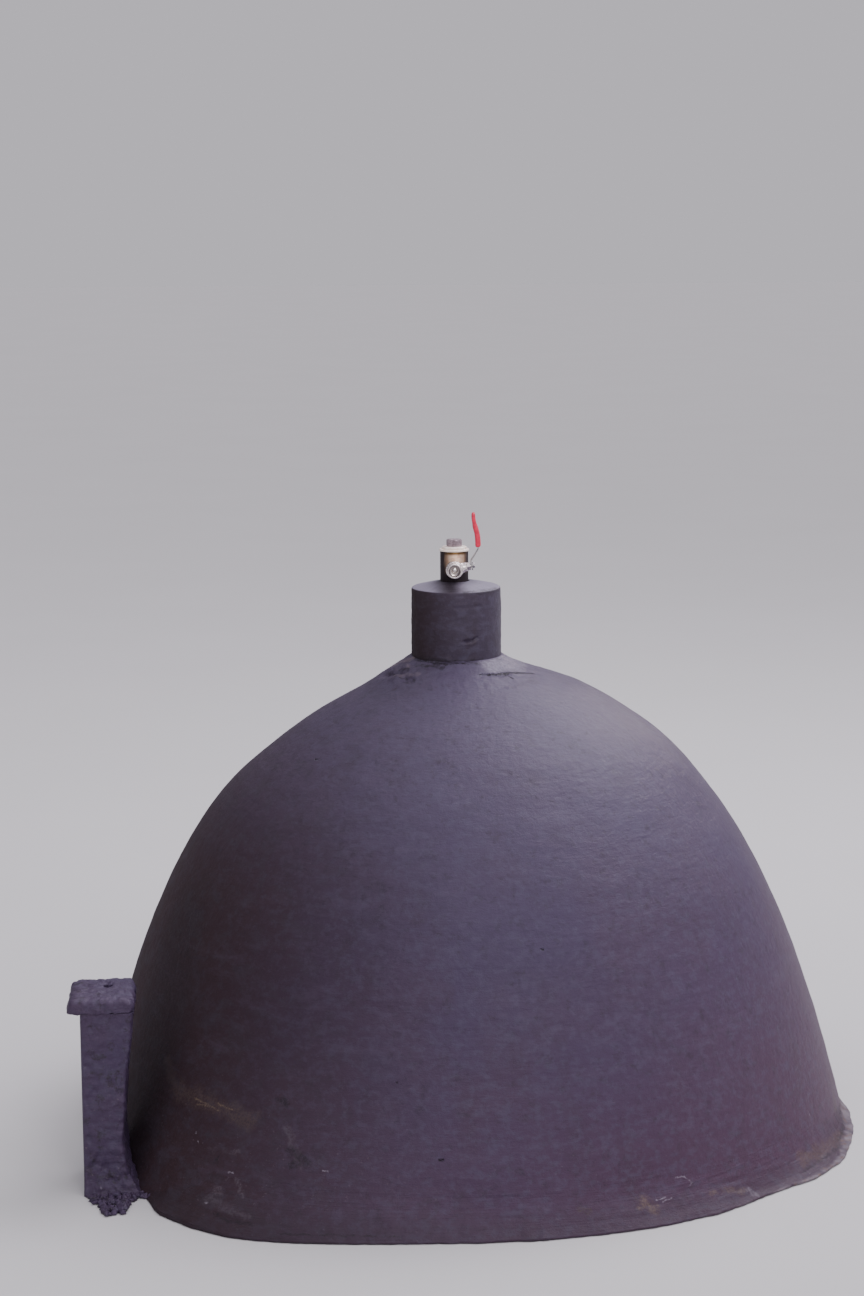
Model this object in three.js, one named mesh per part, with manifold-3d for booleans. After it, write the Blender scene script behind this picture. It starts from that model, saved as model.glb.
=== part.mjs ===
// A fixed-dome biogas digester from ground level up: a hollow plastered dome with a short neck,
// a gas outlet with a ball valve on top of the neck, a mortar skirt at the foot, and a stub of
// block wall built against the dome's front left.
// Millimetres, +Z up. The outlet of the valve faces -Y, and the handle is on the +X side.
// The origin is on the ground, in the middle of the footprint.

import * as THREE from 'three';
import { mergeVertices } from 'three/addons/utils/BufferGeometryUtils.js';
import Module from 'manifold-3d';

const wasm = await Module();
wasm.setup();

// Driving dimensions

const JOINT_GAP = 0.3;

const DOME = {
  footRadius: 694,
  footHandle: [570, 468],
  crownHandle: [471, 697],
  crownRadius: 84,
  crownHeight: 841,
  wall: 65,
  outerSteps: 12,
  innerSteps: 8,
  segments: 64,
};

// The haunch is the extra mortar that swells the dome's foot at the front left.
const HAUNCH = { reach: 77, azimuth: 234.7, spread: 15, height: 300 };

// The skirt's reach from the dome's axis is a list of [azimuth, radius] steps.
const SKIRT = {
  reach: [[222, 718], [270, 720], [292, 724], [325, 733], [345, 719], [365, 714], [525, 714]],
  depth: 60,
  height: 16,
  lip: 5,
  chamfer: 7,
};

const NECK = { radius: 81.5, boreRadius: 62, offset: -19.5, wallTop: 949, top: 977 };

// The dome isn't true: its axis lies off to one side by [height, offset] steps.
const LEAN = [[0, -3], [580, -3], [720, 9], [785, 9], [DOME.crownHeight, NECK.offset]];

const COLLAR = { radius: 140, edgeThickness: 2.5, shoulderRadius: 104, shoulderRise: 4, neckRise: 9 };

const STUB = {
  yaw: 3.72,
  left: -694,
  front: -436,
  back: -300,
  waistRight: -627,
  waistHeight: 85,
  topRight: -604,
  footRight: -617,
  height: 317,
};

const STUB_CAP = { lip: 20, overhang: 4, thickness: 24, bevel: 5, holeRadius: 9, holeDepth: 15 };
const STUB_CAP_HOLE = { fromLeft: 45, fromFront: 88 };
const STUB_FOOT = { right: -594, front: -446, height: 46, shoulder: 5 };

const OUTLET_OFFSET = -22.5;
const PIPE = { radius: 21.2, boreRadius: 18, bottom: 895, above: 22 };

const TURRET = { radius: 25.5, boreRadius: 21.6, height: 62, tapping: 34.5 };
const TURRET_RIM = { radius: 27.2, thickness: 4 };
const BUSH = { shankRadius: 21.3, shankDepth: 13, headRadius: 22.4, headHeight: 4, bore: 10.3 };
const PLUG = { acrossFlats: 25, headHeight: 12.2, chamfer: 1.5, shankRadius: 10, shankDepth: 11 };

const NIPPLE = { radius: 9, boreRadius: 6.5, collarRadius: 10.8, visible: 5, inTurret: 6, inValve: 8 };

const VALVE = {
  roll: 14,
  halfLength: 23,
  acrossFlats: 26.5,
  barrelRadius: 15.5,
  barrelHalf: 8,
  cavityRadius: 12,
  socketRadius: 9.3,
  socketDepth: 8.5,
  shoulderRadius: 7,
  rimRadius: 13.2,
  rimLength: 3,
};

const BALL = { radius: 11, portRadius: 6, flatAt: 9.5 };
const SEAT = { innerRadius: 6.5, outerRadius: 10.5, face: 9.3, thickness: 3.2 };
const BOSS = { radius: 8.2, end: 23 };
const GLAND = { acrossFlats: 14, height: 6 };
const STEM = { radius: 4, end: 37, shoulder: 30.4, threadRadius: 3 };
const RUNNING_GAP = 0.5;

const LEVER = {
  thickness: 2,
  width: 14,
  tail: 9,
  cranked: 20,
  crankFrom: 8,
  crankTo: 27,
  splay: 5.5,
  tip: 89,
};
const LEVER_NUT = { acrossFlats: 10, height: 4.6 };
const SLEEVE = { from: 30, to: 92, thickness: 7, width: 18, corner: 2.4 };

// Materials

const material = (color, roughness, metalness) =>
  new THREE.MeshStandardMaterial({ color, roughness, metalness });

const blackPaint = material(0x2b2833, 0.55, 0);
const bareCement = material(0x8d8c88, 0.9, 0);
const brass = material(0xa88a4e, 0.35, 1);
const nickelPlate = material(0xc9c6c2, 0.25, 1);
const greySteel = material(0x77727a, 0.45, 1);
const seatPlastic = material(0xe9e6de, 0.5, 0);
const redVinyl = material(0xc8102e, 0.4, 0);

// Scene graph helpers

const digester = new THREE.Group();

function addPiece(name, geometry, finish, parent = digester) {
  const piece = new THREE.Mesh(geometry, finish);
  piece.name = name;
  parent.add(piece);
  return piece;
}

// Solid helpers

const cosDeg = (degrees) => Math.cos(THREE.MathUtils.degToRad(degrees));
const sinDeg = (degrees) => Math.sin(THREE.MathUtils.degToRad(degrees));

function toSolid(geometry) {
  const merged = geometry.clone();
  merged.deleteAttribute('normal');
  merged.deleteAttribute('uv');
  const welded = mergeVertices(merged, 1e-4);
  return new wasm.Manifold(
    new wasm.Mesh({
      numProp: 3,
      vertProperties: new Float32Array(welded.attributes.position.array),
      triVerts: new Uint32Array(welded.index.array),
    }),
  );
}

function toGeometry(solid) {
  const mesh = solid.getMesh();
  const geometry = new THREE.BufferGeometry();
  geometry.setAttribute('position', new THREE.BufferAttribute(mesh.vertProperties, 3));
  geometry.setIndex(new THREE.BufferAttribute(mesh.triVerts, 1));
  geometry.computeVertexNormals();
  return geometry;
}

function cut(geometry, ...tools) {
  let solid = toSolid(geometry);
  for (const tool of tools) solid = solid.subtract(toSolid(tool));
  return toGeometry(solid);
}

function join(...geometries) {
  let solid = toSolid(geometries[0]);
  for (const other of geometries.slice(1)) solid = solid.add(toSolid(other));
  return toGeometry(solid);
}

// A solid of revolution about +Z from [radius, height] points, listed with the solid on their left
// when they run outwards along the bottom. A profile that stays off the axis closes on itself.
function turned(profile, segments = 24) {
  const points = profile.map(([radius, height]) => new THREE.Vector2(radius, height));
  const onAxis = points[0].x === 0;
  if (!onAxis) points.push(points[0].clone());
  return new THREE.LatheGeometry(points, segments).rotateX(Math.PI / 2).rotateZ(Math.PI / segments);
}

// A ring between two radii and two heights.
function ring(innerRadius, outerRadius, bottom, top, segments = 24) {
  return turned(
    [[innerRadius, bottom], [outerRadius, bottom], [outerRadius, top], [innerRadius, top]],
    segments,
  );
}

function rod(radius, bottom, top, segments = 24) {
  return turned([[0, bottom], [radius, bottom], [radius, top], [0, top]], segments);
}

// A prism with a regular outline, given across its flats, with both ends chamfered.
function nutBlank(acrossFlats, bottom, top, sides, chamfer) {
  const corner = acrossFlats / 2 / Math.cos(Math.PI / sides);
  return turned(
    [
      [0, bottom],
      [corner - chamfer, bottom],
      [corner, bottom + chamfer],
      [corner, top - chamfer],
      [corner - chamfer, top],
      [0, top],
    ],
    sides,
  );
}

// Joins section loops of equal length into one closed body. Each loop lists its points clockwise
// when seen from the side that the next loop is on. Without ends the last loop meets the first.
function loft(loops, hasEnds) {
  const count = loops[0].length;
  const vertices = loops.flat().flatMap((point) => [point.x, point.y, point.z]);
  const faces = [];
  const spans = hasEnds ? loops.length - 1 : loops.length;
  for (let i = 0; i < spans; i += 1) {
    const here = i * count;
    const next = ((i + 1) % loops.length) * count;
    for (let k = 0; k < count; k += 1) {
      const after = (k + 1) % count;
      faces.push(here + k, next + k, next + after, here + k, next + after, here + after);
    }
  }
  if (hasEnds) {
    const last = (loops.length - 1) * count;
    for (let k = 1; k < count - 1; k += 1) {
      faces.push(0, k, k + 1);
      faces.push(last, last + k + 1, last + k);
    }
  }
  const geometry = new THREE.BufferGeometry();
  geometry.setAttribute('position', new THREE.Float32BufferAttribute(vertices, 3));
  geometry.setIndex(faces);
  geometry.computeVertexNormals();
  return geometry;
}

// Dome

const domeCurve = new THREE.CubicBezierCurve(
  new THREE.Vector2(DOME.footRadius, 0),
  new THREE.Vector2(...DOME.footHandle),
  new THREE.Vector2(...DOME.crownHandle),
  new THREE.Vector2(DOME.crownRadius, DOME.crownHeight),
);
const outerProfile = domeCurve.getSpacedPoints(DOME.outerSteps);

// The dome's inside follows its outside at the wall's thickness, from the foot to the neck's bore.
function innerDomeProfile() {
  const points = [];
  for (let i = 0; i <= DOME.innerSteps; i += 1) {
    const along = i / DOME.innerSteps;
    const tangent = domeCurve.getTangentAt(along);
    const point = domeCurve.getPointAt(along);
    points.push(new THREE.Vector2(point.x - tangent.y * DOME.wall, point.y + tangent.x * DOME.wall));
  }
  points[0].set(DOME.footRadius - DOME.wall, 0);
  points[DOME.innerSteps].x = NECK.boreRadius;
  return points;
}
const innerProfile = innerDomeProfile();

// The value at a place in a list of [place, value] steps, eased from each step to the next.
function eased(steps, at) {
  const next = steps.findIndex(([place]) => place >= at);
  if (next === -1) return steps.at(-1)[1];
  if (next === 0) return steps[0][1];
  const [from, before] = steps[next - 1];
  const [to, after] = steps[next];
  return THREE.MathUtils.lerp(before, after, THREE.MathUtils.smoothstep(at, from, to));
}

function haunchAt(azimuth, height) {
  const away = (azimuth - HAUNCH.azimuth) / HAUNCH.spread;
  const fade = Math.max(0, 1 - height / HAUNCH.height) ** 2;
  return HAUNCH.reach * Math.exp(-0.5 * away * away) * fade;
}

function onDome(azimuth, radius, height, lean = eased(LEAN, height)) {
  return new THREE.Vector3(radius * cosDeg(azimuth) + lean, radius * sinDeg(azimuth), height);
}

// The corner of the dome's outside at a profile step. A clearance moves it straight outwards.
function domeCorner(azimuth, step, clearance = 0) {
  const { x: radius, y: height } = outerProfile[step];
  return onDome(azimuth, radius + haunchAt(azimuth, height) + clearance, height);
}

const STEP_ANGLE = 360 / DOME.segments;
const roundAzimuths = Array.from({ length: DOME.segments }, (_, i) => i * STEP_ANGLE);

// The inside leans with the outside above it.
function domeShell() {
  const loops = roundAzimuths.map((azimuth) => [
    ...outerProfile.map((_, step) => domeCorner(azimuth, step)),
    onDome(azimuth, NECK.boreRadius, DOME.crownHeight),
    ...[...innerProfile]
      .reverse()
      .map((point) => onDome(azimuth, point.x, point.y, eased(LEAN, point.y + DOME.wall))),
  ]);
  return loft(loops, false);
}

// The dome's outside with a small clearance, as a solid that cuts what is built against it.
function domeEnvelope() {
  const loops = roundAzimuths.map((azimuth) => [
    ...outerProfile.map((_, step) => domeCorner(azimuth, step, JOINT_GAP)),
    onDome(azimuth, NECK.boreRadius, DOME.crownHeight),
    onDome(azimuth, NECK.boreRadius, -1),
    domeCorner(azimuth, 0, JOINT_GAP).setZ(-1),
  ]);
  return loft(loops, false);
}

addPiece('dome_shell', domeShell(), blackPaint);

// Skirt: an unpainted mortar ring round the dome's foot, wider at the front, which ends at the stub
// wall and where the dome's left side meets the building.

function skirt() {
  const start = SKIRT.reach[0][0];
  const end = SKIRT.reach.at(-1)[0];
  const twoLaps = [...roundAzimuths, ...roundAzimuths.map((azimuth) => azimuth + 360)];
  const azimuths = [start, ...twoLaps.filter((azimuth) => azimuth > start && azimuth <= end)];
  const loops = azimuths.map((azimuth) => {
    const reach = eased(SKIRT.reach, azimuth) + haunchAt(azimuth, 0);
    const hidden = reach - SKIRT.depth;
    return [
      onDome(azimuth, hidden, 0),
      onDome(azimuth, reach, 0),
      onDome(azimuth, reach, SKIRT.lip),
      onDome(azimuth, reach - SKIRT.chamfer, SKIRT.height),
      onDome(azimuth, hidden, SKIRT.height),
    ];
  });
  return cut(loft(loops, true), domeEnvelope());
}

addPiece('base_skirt', skirt(), bareCement);

// Neck: a round wall on the dome's crown, a screed on top of it and a mortar collar at its foot.

const neck = new THREE.Group();
neck.position.x = NECK.offset;
digester.add(neck);

const neckRing = (innerRadius, outerRadius, bottom, top) =>
  ring(innerRadius, outerRadius, bottom, top, DOME.segments).rotateZ(-Math.PI / DOME.segments);

addPiece(
  'neck_wall',
  neckRing(NECK.boreRadius, NECK.radius, DOME.crownHeight + JOINT_GAP, NECK.wallTop),
  blackPaint,
  neck,
);

function screed() {
  const disc = turned(
    [
      [0, NECK.wallTop + JOINT_GAP],
      [NECK.radius, NECK.wallTop + JOINT_GAP],
      [NECK.radius + 0.5, NECK.top - 6],
      [NECK.radius - 2.5, NECK.top - 1.5],
      [TURRET_RIM.radius, NECK.top],
      [0, NECK.top],
    ],
    DOME.segments,
  ).rotateZ(-Math.PI / DOME.segments);
  const pipeHole = rod(PIPE.radius + JOINT_GAP, NECK.wallTop, NECK.top + 1);
  return cut(disc, pipeHole.translate(OUTLET_OFFSET - NECK.offset, 0, 0));
}

addPiece('neck_screed', screed(), blackPaint, neck);

function neckCollar() {
  const crown = DOME.outerSteps;
  const inner = NECK.radius + JOINT_GAP;
  const width = outerProfile[crown - 1].x - DOME.crownRadius;
  const loops = roundAzimuths.map((azimuth) => {
    const onCrown = domeCorner(azimuth, crown);
    const below = domeCorner(azimuth, crown - 1);
    const onSlope = (radius, rise) => {
      const share = (radius - DOME.crownRadius) / width;
      return onCrown.clone().lerp(below, share).add(new THREE.Vector3(0, 0, rise));
    };
    const atNeck = (rise) => onDome(azimuth, inner, DOME.crownHeight).add(new THREE.Vector3(0, 0, rise));
    return [
      onSlope(COLLAR.radius, JOINT_GAP),
      onSlope(COLLAR.radius, COLLAR.edgeThickness),
      onSlope(COLLAR.shoulderRadius, COLLAR.shoulderRise),
      atNeck(COLLAR.neckRise),
      atNeck(JOINT_GAP),
      onCrown.clone().add(new THREE.Vector3(0, 0, JOINT_GAP)),
    ];
  });
  return loft(loops, false);
}

addPiece('neck_collar', neckCollar(), blackPaint);

// Stub wall: one narrow stack of block against the dome's front left, in line with the building.
// It has a rough mortar cap that laps to the left, and a mortar foot. It is cut to the dome.

const stub = new THREE.Group();
stub.rotation.z = THREE.MathUtils.degToRad(STUB.yaw);
digester.add(stub);

const domeCutter = domeEnvelope().rotateZ(-THREE.MathUtils.degToRad(STUB.yaw));

// An outline in X and Z, pulled through the wall from front to back.
function throughStub(outline, front, back) {
  const shape = new THREE.Shape(outline.map(([x, z]) => new THREE.Vector2(x, z)));
  return new THREE.ExtrudeGeometry(shape, { depth: back - front, bevelEnabled: false })
    .rotateX(Math.PI / 2)
    .translate(0, back, 0);
}

const stubOutline = (grow) => [
  [STUB.left - grow, -grow],
  [STUB.footRight + grow, -grow],
  [STUB.waistRight + grow, STUB.waistHeight],
  [STUB.topRight + grow, STUB.height + grow],
  [STUB.left - grow, STUB.height + grow],
];

addPiece(
  'stub_wall',
  cut(throughStub(stubOutline(0), STUB.front, STUB.back), domeCutter),
  blackPaint,
  stub,
);

function stubCap() {
  const inset = STUB_CAP.bevel;
  const left = STUB.left - STUB_CAP.lip + inset;
  const right = STUB.topRight + STUB_CAP.overhang - inset;
  const front = STUB.front - STUB_CAP.overhang + inset;
  const back = STUB.back + STUB_CAP.overhang - inset;
  const plan = new THREE.Shape([
    new THREE.Vector2(left, front + 10),
    new THREE.Vector2(left + 14, front),
    new THREE.Vector2(right - 8, front),
    new THREE.Vector2(right, front + 9),
    new THREE.Vector2(right, back - 7),
    new THREE.Vector2(right - 7, back),
    new THREE.Vector2(left + 12, back),
    new THREE.Vector2(left, back - 12),
  ]);
  const bottom = STUB.height + JOINT_GAP;
  const slab = new THREE.ExtrudeGeometry(plan, {
    depth: STUB_CAP.thickness - 2 * STUB_CAP.bevel,
    bevelThickness: STUB_CAP.bevel,
    bevelSize: STUB_CAP.bevel,
    bevelSegments: 2,
  }).translate(0, 0, bottom + STUB_CAP.bevel);
  const top = bottom + STUB_CAP.thickness;
  const hole = rod(STUB_CAP.holeRadius, top - STUB_CAP.holeDepth, top + 5, 12).translate(
    STUB.left + STUB_CAP_HOLE.fromLeft,
    STUB.front + STUB_CAP_HOLE.fromFront,
    0,
  );
  return cut(slab, hole, domeCutter);
}

addPiece('stub_cap', stubCap(), blackPaint, stub);

function stubFoot() {
  const level = (right, front, height) => [
    new THREE.Vector3(STUB.left, front, height),
    new THREE.Vector3(STUB.left, STUB.back, height),
    new THREE.Vector3(right, STUB.back, height),
    new THREE.Vector3(right, front, height),
  ];
  const slope = loft(
    [
      level(STUB_FOOT.right, STUB_FOOT.front, 0),
      level(STUB.waistRight + STUB_FOOT.shoulder, STUB.front - STUB_FOOT.shoulder, STUB_FOOT.height),
    ],
    true,
  );
  const wallEnvelope = throughStub(
    stubOutline(JOINT_GAP),
    STUB.front - JOINT_GAP,
    STUB.back + JOINT_GAP,
  );
  return cut(slope, wallEnvelope, domeCutter);
}

addPiece('stub_foot', stubFoot(), blackPaint, stub);

// Gas outlet: a pipe through the screed, and a short turret screwed over it with a side tapping.

const outlet = new THREE.Group();
outlet.position.set(OUTLET_OFFSET, 0, NECK.top);
digester.add(outlet);

const seatedOnScreed = JOINT_GAP;
const alongY = (geometry) => geometry.rotateX(Math.PI / 2);

addPiece(
  'gas_pipe',
  ring(PIPE.boreRadius, PIPE.radius, PIPE.bottom - NECK.top, PIPE.above),
  greySteel,
  outlet,
);

const tappingCutter = alongY(rod(NIPPLE.radius + JOINT_GAP, 0, 2 * TURRET.radius)).translate(
  0,
  0,
  TURRET.tapping,
);

addPiece(
  'turret_body',
  cut(ring(TURRET.boreRadius, TURRET.radius, seatedOnScreed, TURRET.height, 32), tappingCutter),
  brass,
  outlet,
);

const rimBottom = TURRET.height + JOINT_GAP;
const rimTop = rimBottom + TURRET_RIM.thickness;

addPiece(
  'turret_rim',
  turned(
    [
      [TURRET.boreRadius, rimBottom],
      [TURRET_RIM.radius - 0.8, rimBottom],
      [TURRET_RIM.radius, rimBottom + 0.8],
      [TURRET_RIM.radius, rimTop - 1],
      [TURRET_RIM.radius - 1, rimTop],
      [TURRET.boreRadius, rimTop],
    ],
    32,
  ),
  brass,
  outlet,
);

const bushBottom = rimTop + JOINT_GAP;
const bushTop = bushBottom + BUSH.headHeight;

addPiece(
  'reducer_bush',
  turned(
    [
      [BUSH.bore, bushBottom - BUSH.shankDepth],
      [BUSH.shankRadius, bushBottom - BUSH.shankDepth],
      [BUSH.shankRadius, bushBottom],
      [BUSH.headRadius, bushBottom],
      [BUSH.headRadius, bushTop - 1.5],
      [BUSH.headRadius - 1.5, bushTop],
      [BUSH.bore, bushTop],
    ],
    32,
  ),
  brass,
  outlet,
);

const plugBottom = bushTop + JOINT_GAP;

addPiece(
  'turret_plug',
  join(
    nutBlank(PLUG.acrossFlats, plugBottom, plugBottom + PLUG.headHeight, 6, PLUG.chamfer),
    rod(PLUG.shankRadius, plugBottom - PLUG.shankDepth, plugBottom + 1),
  ),
  greySteel,
  outlet,
);

// Ball valve: in its own frame the outlet faces -Y, the stem points along +X and the closed
// lever points along +Z. The valve is screwed up with its stem turned a little above level.

const ballCentreAt = TURRET.radius + NIPPLE.visible + VALVE.halfLength;

const valve = new THREE.Group();
valve.position.set(0, -ballCentreAt, TURRET.tapping);
valve.rotation.y = -THREE.MathUtils.degToRad(VALVE.roll);
outlet.add(valve);

// Solids turned about the flow line, with their heights measured from the ball towards the outlet.
const alongFlow = (geometry) => geometry.rotateX(Math.PI / 2);
// Solids turned about the stem, with their heights measured from the ball towards the lever.
const alongStem = (geometry) => geometry.rotateY(Math.PI / 2);

function valveNipple() {
  const turretEnd = -(VALVE.halfLength + NIPPLE.visible + NIPPLE.inTurret);
  const valveEnd = -VALVE.halfLength + NIPPLE.inValve;
  const collarFrom = -(VALVE.halfLength + NIPPLE.visible - 1);
  const collarTo = -(VALVE.halfLength + 1);
  return turned([
    [NIPPLE.boreRadius, turretEnd],
    [NIPPLE.radius, turretEnd],
    [NIPPLE.radius, collarFrom],
    [NIPPLE.collarRadius, collarFrom],
    [NIPPLE.collarRadius, collarTo],
    [NIPPLE.radius, collarTo],
    [NIPPLE.radius, valveEnd],
    [NIPPLE.boreRadius, valveEnd],
  ]);
}

const nipple = addPiece('valve_nipple', alongY(valveNipple()), nickelPlate, outlet);
nipple.position.copy(valve.position);

const seatPocket = SEAT.outerRadius + JOINT_GAP;
const seatBack = SEAT.face + SEAT.thickness + JOINT_GAP;
const socketFloor = VALVE.halfLength - VALVE.socketDepth;

// Everything inside one end of the valve, from its mouth to the ball: the socket for the pipe,
// the shoulder behind it and the pocket of the seat.
function endPassage(from) {
  return turned([
    [0, from],
    [seatPocket, from],
    [seatPocket, seatBack],
    [VALVE.shoulderRadius, seatBack],
    [VALVE.shoulderRadius, socketFloor],
    [VALVE.socketRadius, socketFloor],
    [VALVE.socketRadius, VALVE.halfLength + 1],
    [0, VALVE.halfLength + 1],
  ]);
}

// The eight-sided end that takes the spanner, and the round rim at its mouth.
function endBlank(from) {
  const flatsTo = VALVE.halfLength - VALVE.rimLength;
  return join(
    nutBlank(VALVE.acrossFlats, from, flatsTo, 8, 1),
    rod(VALVE.rimRadius, flatsTo - 1, VALVE.halfLength, 32),
  );
}

const turnRound = (geometry) => geometry.rotateX(Math.PI);
const cavityEnd = VALVE.barrelHalf + JOINT_GAP;
const stemHole = alongStem(rod(STEM.radius + RUNNING_GAP, 0, BOSS.end + 1, 16));
const boss = alongStem(
  ring(STEM.radius + RUNNING_GAP, BOSS.radius, VALVE.cavityRadius + 1, BOSS.end, 16),
);

addPiece(
  'valve_body',
  cut(
    join(
      alongFlow(rod(VALVE.barrelRadius, -VALVE.barrelHalf, VALVE.barrelHalf, 32)),
      alongFlow(turnRound(endBlank(VALVE.barrelHalf - 1))),
      boss,
    ),
    alongFlow(turnRound(endPassage(0))),
    alongFlow(rod(VALVE.cavityRadius, -VALVE.barrelHalf - 1, VALVE.barrelHalf + 1, 32)),
    stemHole,
  ),
  nickelPlate,
  valve,
);

addPiece(
  'valve_end',
  cut(alongFlow(endBlank(cavityEnd)), alongFlow(endPassage(0))),
  nickelPlate,
  valve,
);

const seatRing = () =>
  ring(SEAT.innerRadius, SEAT.outerRadius, SEAT.face, SEAT.face + SEAT.thickness);

addPiece('valve_seat_front', alongFlow(seatRing()), seatPlastic, valve);
addPiece('valve_seat_back', alongFlow(turnRound(seatRing())), seatPlastic, valve);

addPiece(
  'gland_nut',
  cut(
    alongStem(
      nutBlank(
        GLAND.acrossFlats,
        BOSS.end + JOINT_GAP,
        BOSS.end + JOINT_GAP + GLAND.height,
        6,
        1,
      ),
    ),
    alongStem(rod(STEM.radius + RUNNING_GAP, BOSS.end - 1, STEM.end, 16)),
  ),
  nickelPlate,
  valve,
);

// Handle: the ball, stem, lever, nut and sleeve turn together. At rest the valve is shut: the
// ball's port lies across the flow and the lever stands across the pipe.

const ballProfile = [];
const ballSteps = 12;
for (let i = 0; i <= ballSteps; i += 1) {
  const angle = (i / ballSteps - 0.5) * 180;
  const onPole = i === 0 || i === ballSteps;
  ballProfile.push([onPole ? 0 : BALL.radius * cosDeg(angle), BALL.radius * sinDeg(angle)]);
}

addPiece(
  'valve_ball',
  cut(
    alongStem(turned(ballProfile)),
    rod(BALL.portRadius, -BALL.radius - 1, BALL.radius + 1, 20),
    alongStem(rod(BALL.radius, BALL.flatAt, BALL.radius + 1)),
  ),
  nickelPlate,
  valve,
);

const stemThread = STEM.threadRadius;

addPiece(
  'valve_stem',
  alongStem(
    turned(
      [
        [0, BALL.flatAt + JOINT_GAP],
        [STEM.radius, BALL.flatAt + JOINT_GAP],
        [STEM.radius, STEM.shoulder],
        [stemThread, STEM.shoulder],
        [stemThread, STEM.end - 0.5],
        [stemThread - 0.5, STEM.end],
        [0, STEM.end],
      ],
      16,
    ),
  ),
  greySteel,
  valve,
);

const plateFrom = STEM.shoulder + JOINT_GAP;
const crankedFrom = plateFrom + LEVER.cranked;

const splay = THREE.MathUtils.degToRad(LEVER.splay);
const tipFrom = crankedFrom + (LEVER.tip - LEVER.crankTo) * Math.tan(splay);

// The strip's outline in the plane of the stem and the lever, grown on all sides by a clearance.
function stripOutline(grow = 0) {
  const outward = LEVER.thickness + grow;
  return [
    [plateFrom - grow, -LEVER.tail - grow],
    [plateFrom + outward, -LEVER.tail - grow],
    [plateFrom + outward, LEVER.crankFrom - 1],
    [crankedFrom + outward, LEVER.crankTo - 1],
    [tipFrom + outward, LEVER.tip + grow],
    [tipFrom - grow, LEVER.tip + grow],
    [crankedFrom - grow, LEVER.crankTo + 1],
    [plateFrom - grow, LEVER.crankFrom + 1],
  ];
}

// An outline in the stem's and the lever's directions, given a width along the flow.
function flatBar(outline, width) {
  const shape = new THREE.Shape(outline.map(([s, l]) => new THREE.Vector2(s, l)));
  return new THREE.ExtrudeGeometry(shape, { depth: width, bevelEnabled: false })
    .translate(0, 0, -width / 2)
    .rotateX(Math.PI / 2);
}

const boltHole = alongStem(rod(stemThread + JOINT_GAP, STEM.shoulder, STEM.end + 1, 16));

addPiece(
  'valve_lever',
  cut(flatBar(stripOutline(), LEVER.width), boltHole),
  greySteel,
  valve,
);

const nutFrom = plateFrom + LEVER.thickness + JOINT_GAP;

addPiece(
  'lever_nut',
  cut(
    alongStem(nutBlank(LEVER_NUT.acrossFlats, nutFrom, nutFrom + LEVER_NUT.height, 6, 0.8)),
    boltHole,
  ),
  greySteel,
  valve,
);

// The sleeve is dipped vinyl: a rounded tube, closed at its top, over the lever's splayed part.
function sleeve() {
  const middle = crankedFrom + LEVER.thickness / 2;
  const corner = SLEEVE.corner;
  const halfThick = SLEEVE.thickness / 2 - corner;
  const halfWide = SLEEVE.width / 2 - corner;
  const section = new THREE.Shape();
  section.absarc(halfThick, halfWide, corner, 0, Math.PI / 2);
  section.absarc(-halfThick, halfWide, corner, Math.PI / 2, Math.PI);
  section.absarc(-halfThick, -halfWide, corner, Math.PI, 1.5 * Math.PI);
  section.absarc(halfThick, -halfWide, corner, 1.5 * Math.PI, 2 * Math.PI);
  const roundedTop = 1;
  const length = SLEEVE.to - SLEEVE.from;
  const outside = new THREE.ExtrudeGeometry(section, {
    depth: length - 2 * roundedTop,
    curveSegments: 3,
    bevelThickness: roundedTop,
    bevelSize: roundedTop,
    bevelOffset: -roundedTop,
    bevelSegments: 2,
  })
    .translate(0, 0, SLEEVE.from - LEVER.crankTo + roundedTop)
    .rotateY(splay)
    .translate(middle, 0, LEVER.crankTo);
  return cut(outside, flatBar(stripOutline(JOINT_GAP), LEVER.width + 2 * JOINT_GAP));
}

addPiece('lever_sleeve', sleeve(), redVinyl, valve);

// The origin is moved to the middle of the footprint, on the ground.

digester.updateMatrixWorld(true);
const extent = new THREE.Box3().setFromObject(digester, true);
const middle = extent.getCenter(new THREE.Vector3());
digester.position.set(-middle.x, -middle.y, -extent.min.z);

export default digester;
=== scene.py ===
import math

import bmesh
import bpy
import numpy as np
from mathutils import Matrix, Vector, noise


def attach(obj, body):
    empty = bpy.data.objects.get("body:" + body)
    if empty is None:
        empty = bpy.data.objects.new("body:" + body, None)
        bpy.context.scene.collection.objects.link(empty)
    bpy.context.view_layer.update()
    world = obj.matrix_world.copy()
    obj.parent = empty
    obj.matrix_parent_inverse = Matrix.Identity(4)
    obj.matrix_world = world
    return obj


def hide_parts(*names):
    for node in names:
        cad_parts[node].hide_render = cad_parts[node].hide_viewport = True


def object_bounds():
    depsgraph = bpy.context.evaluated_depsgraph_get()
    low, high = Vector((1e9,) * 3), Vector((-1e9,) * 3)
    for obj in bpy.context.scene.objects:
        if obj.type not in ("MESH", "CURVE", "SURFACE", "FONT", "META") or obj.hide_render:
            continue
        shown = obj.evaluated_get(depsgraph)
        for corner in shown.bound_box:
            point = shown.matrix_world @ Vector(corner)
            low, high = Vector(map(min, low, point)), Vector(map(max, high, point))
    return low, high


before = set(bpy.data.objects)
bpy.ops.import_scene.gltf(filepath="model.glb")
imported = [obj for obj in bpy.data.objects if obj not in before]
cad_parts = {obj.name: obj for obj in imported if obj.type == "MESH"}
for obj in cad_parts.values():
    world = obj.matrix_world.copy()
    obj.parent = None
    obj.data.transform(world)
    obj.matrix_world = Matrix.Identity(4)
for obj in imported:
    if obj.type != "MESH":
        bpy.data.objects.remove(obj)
cad_low, cad_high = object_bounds()


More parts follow.
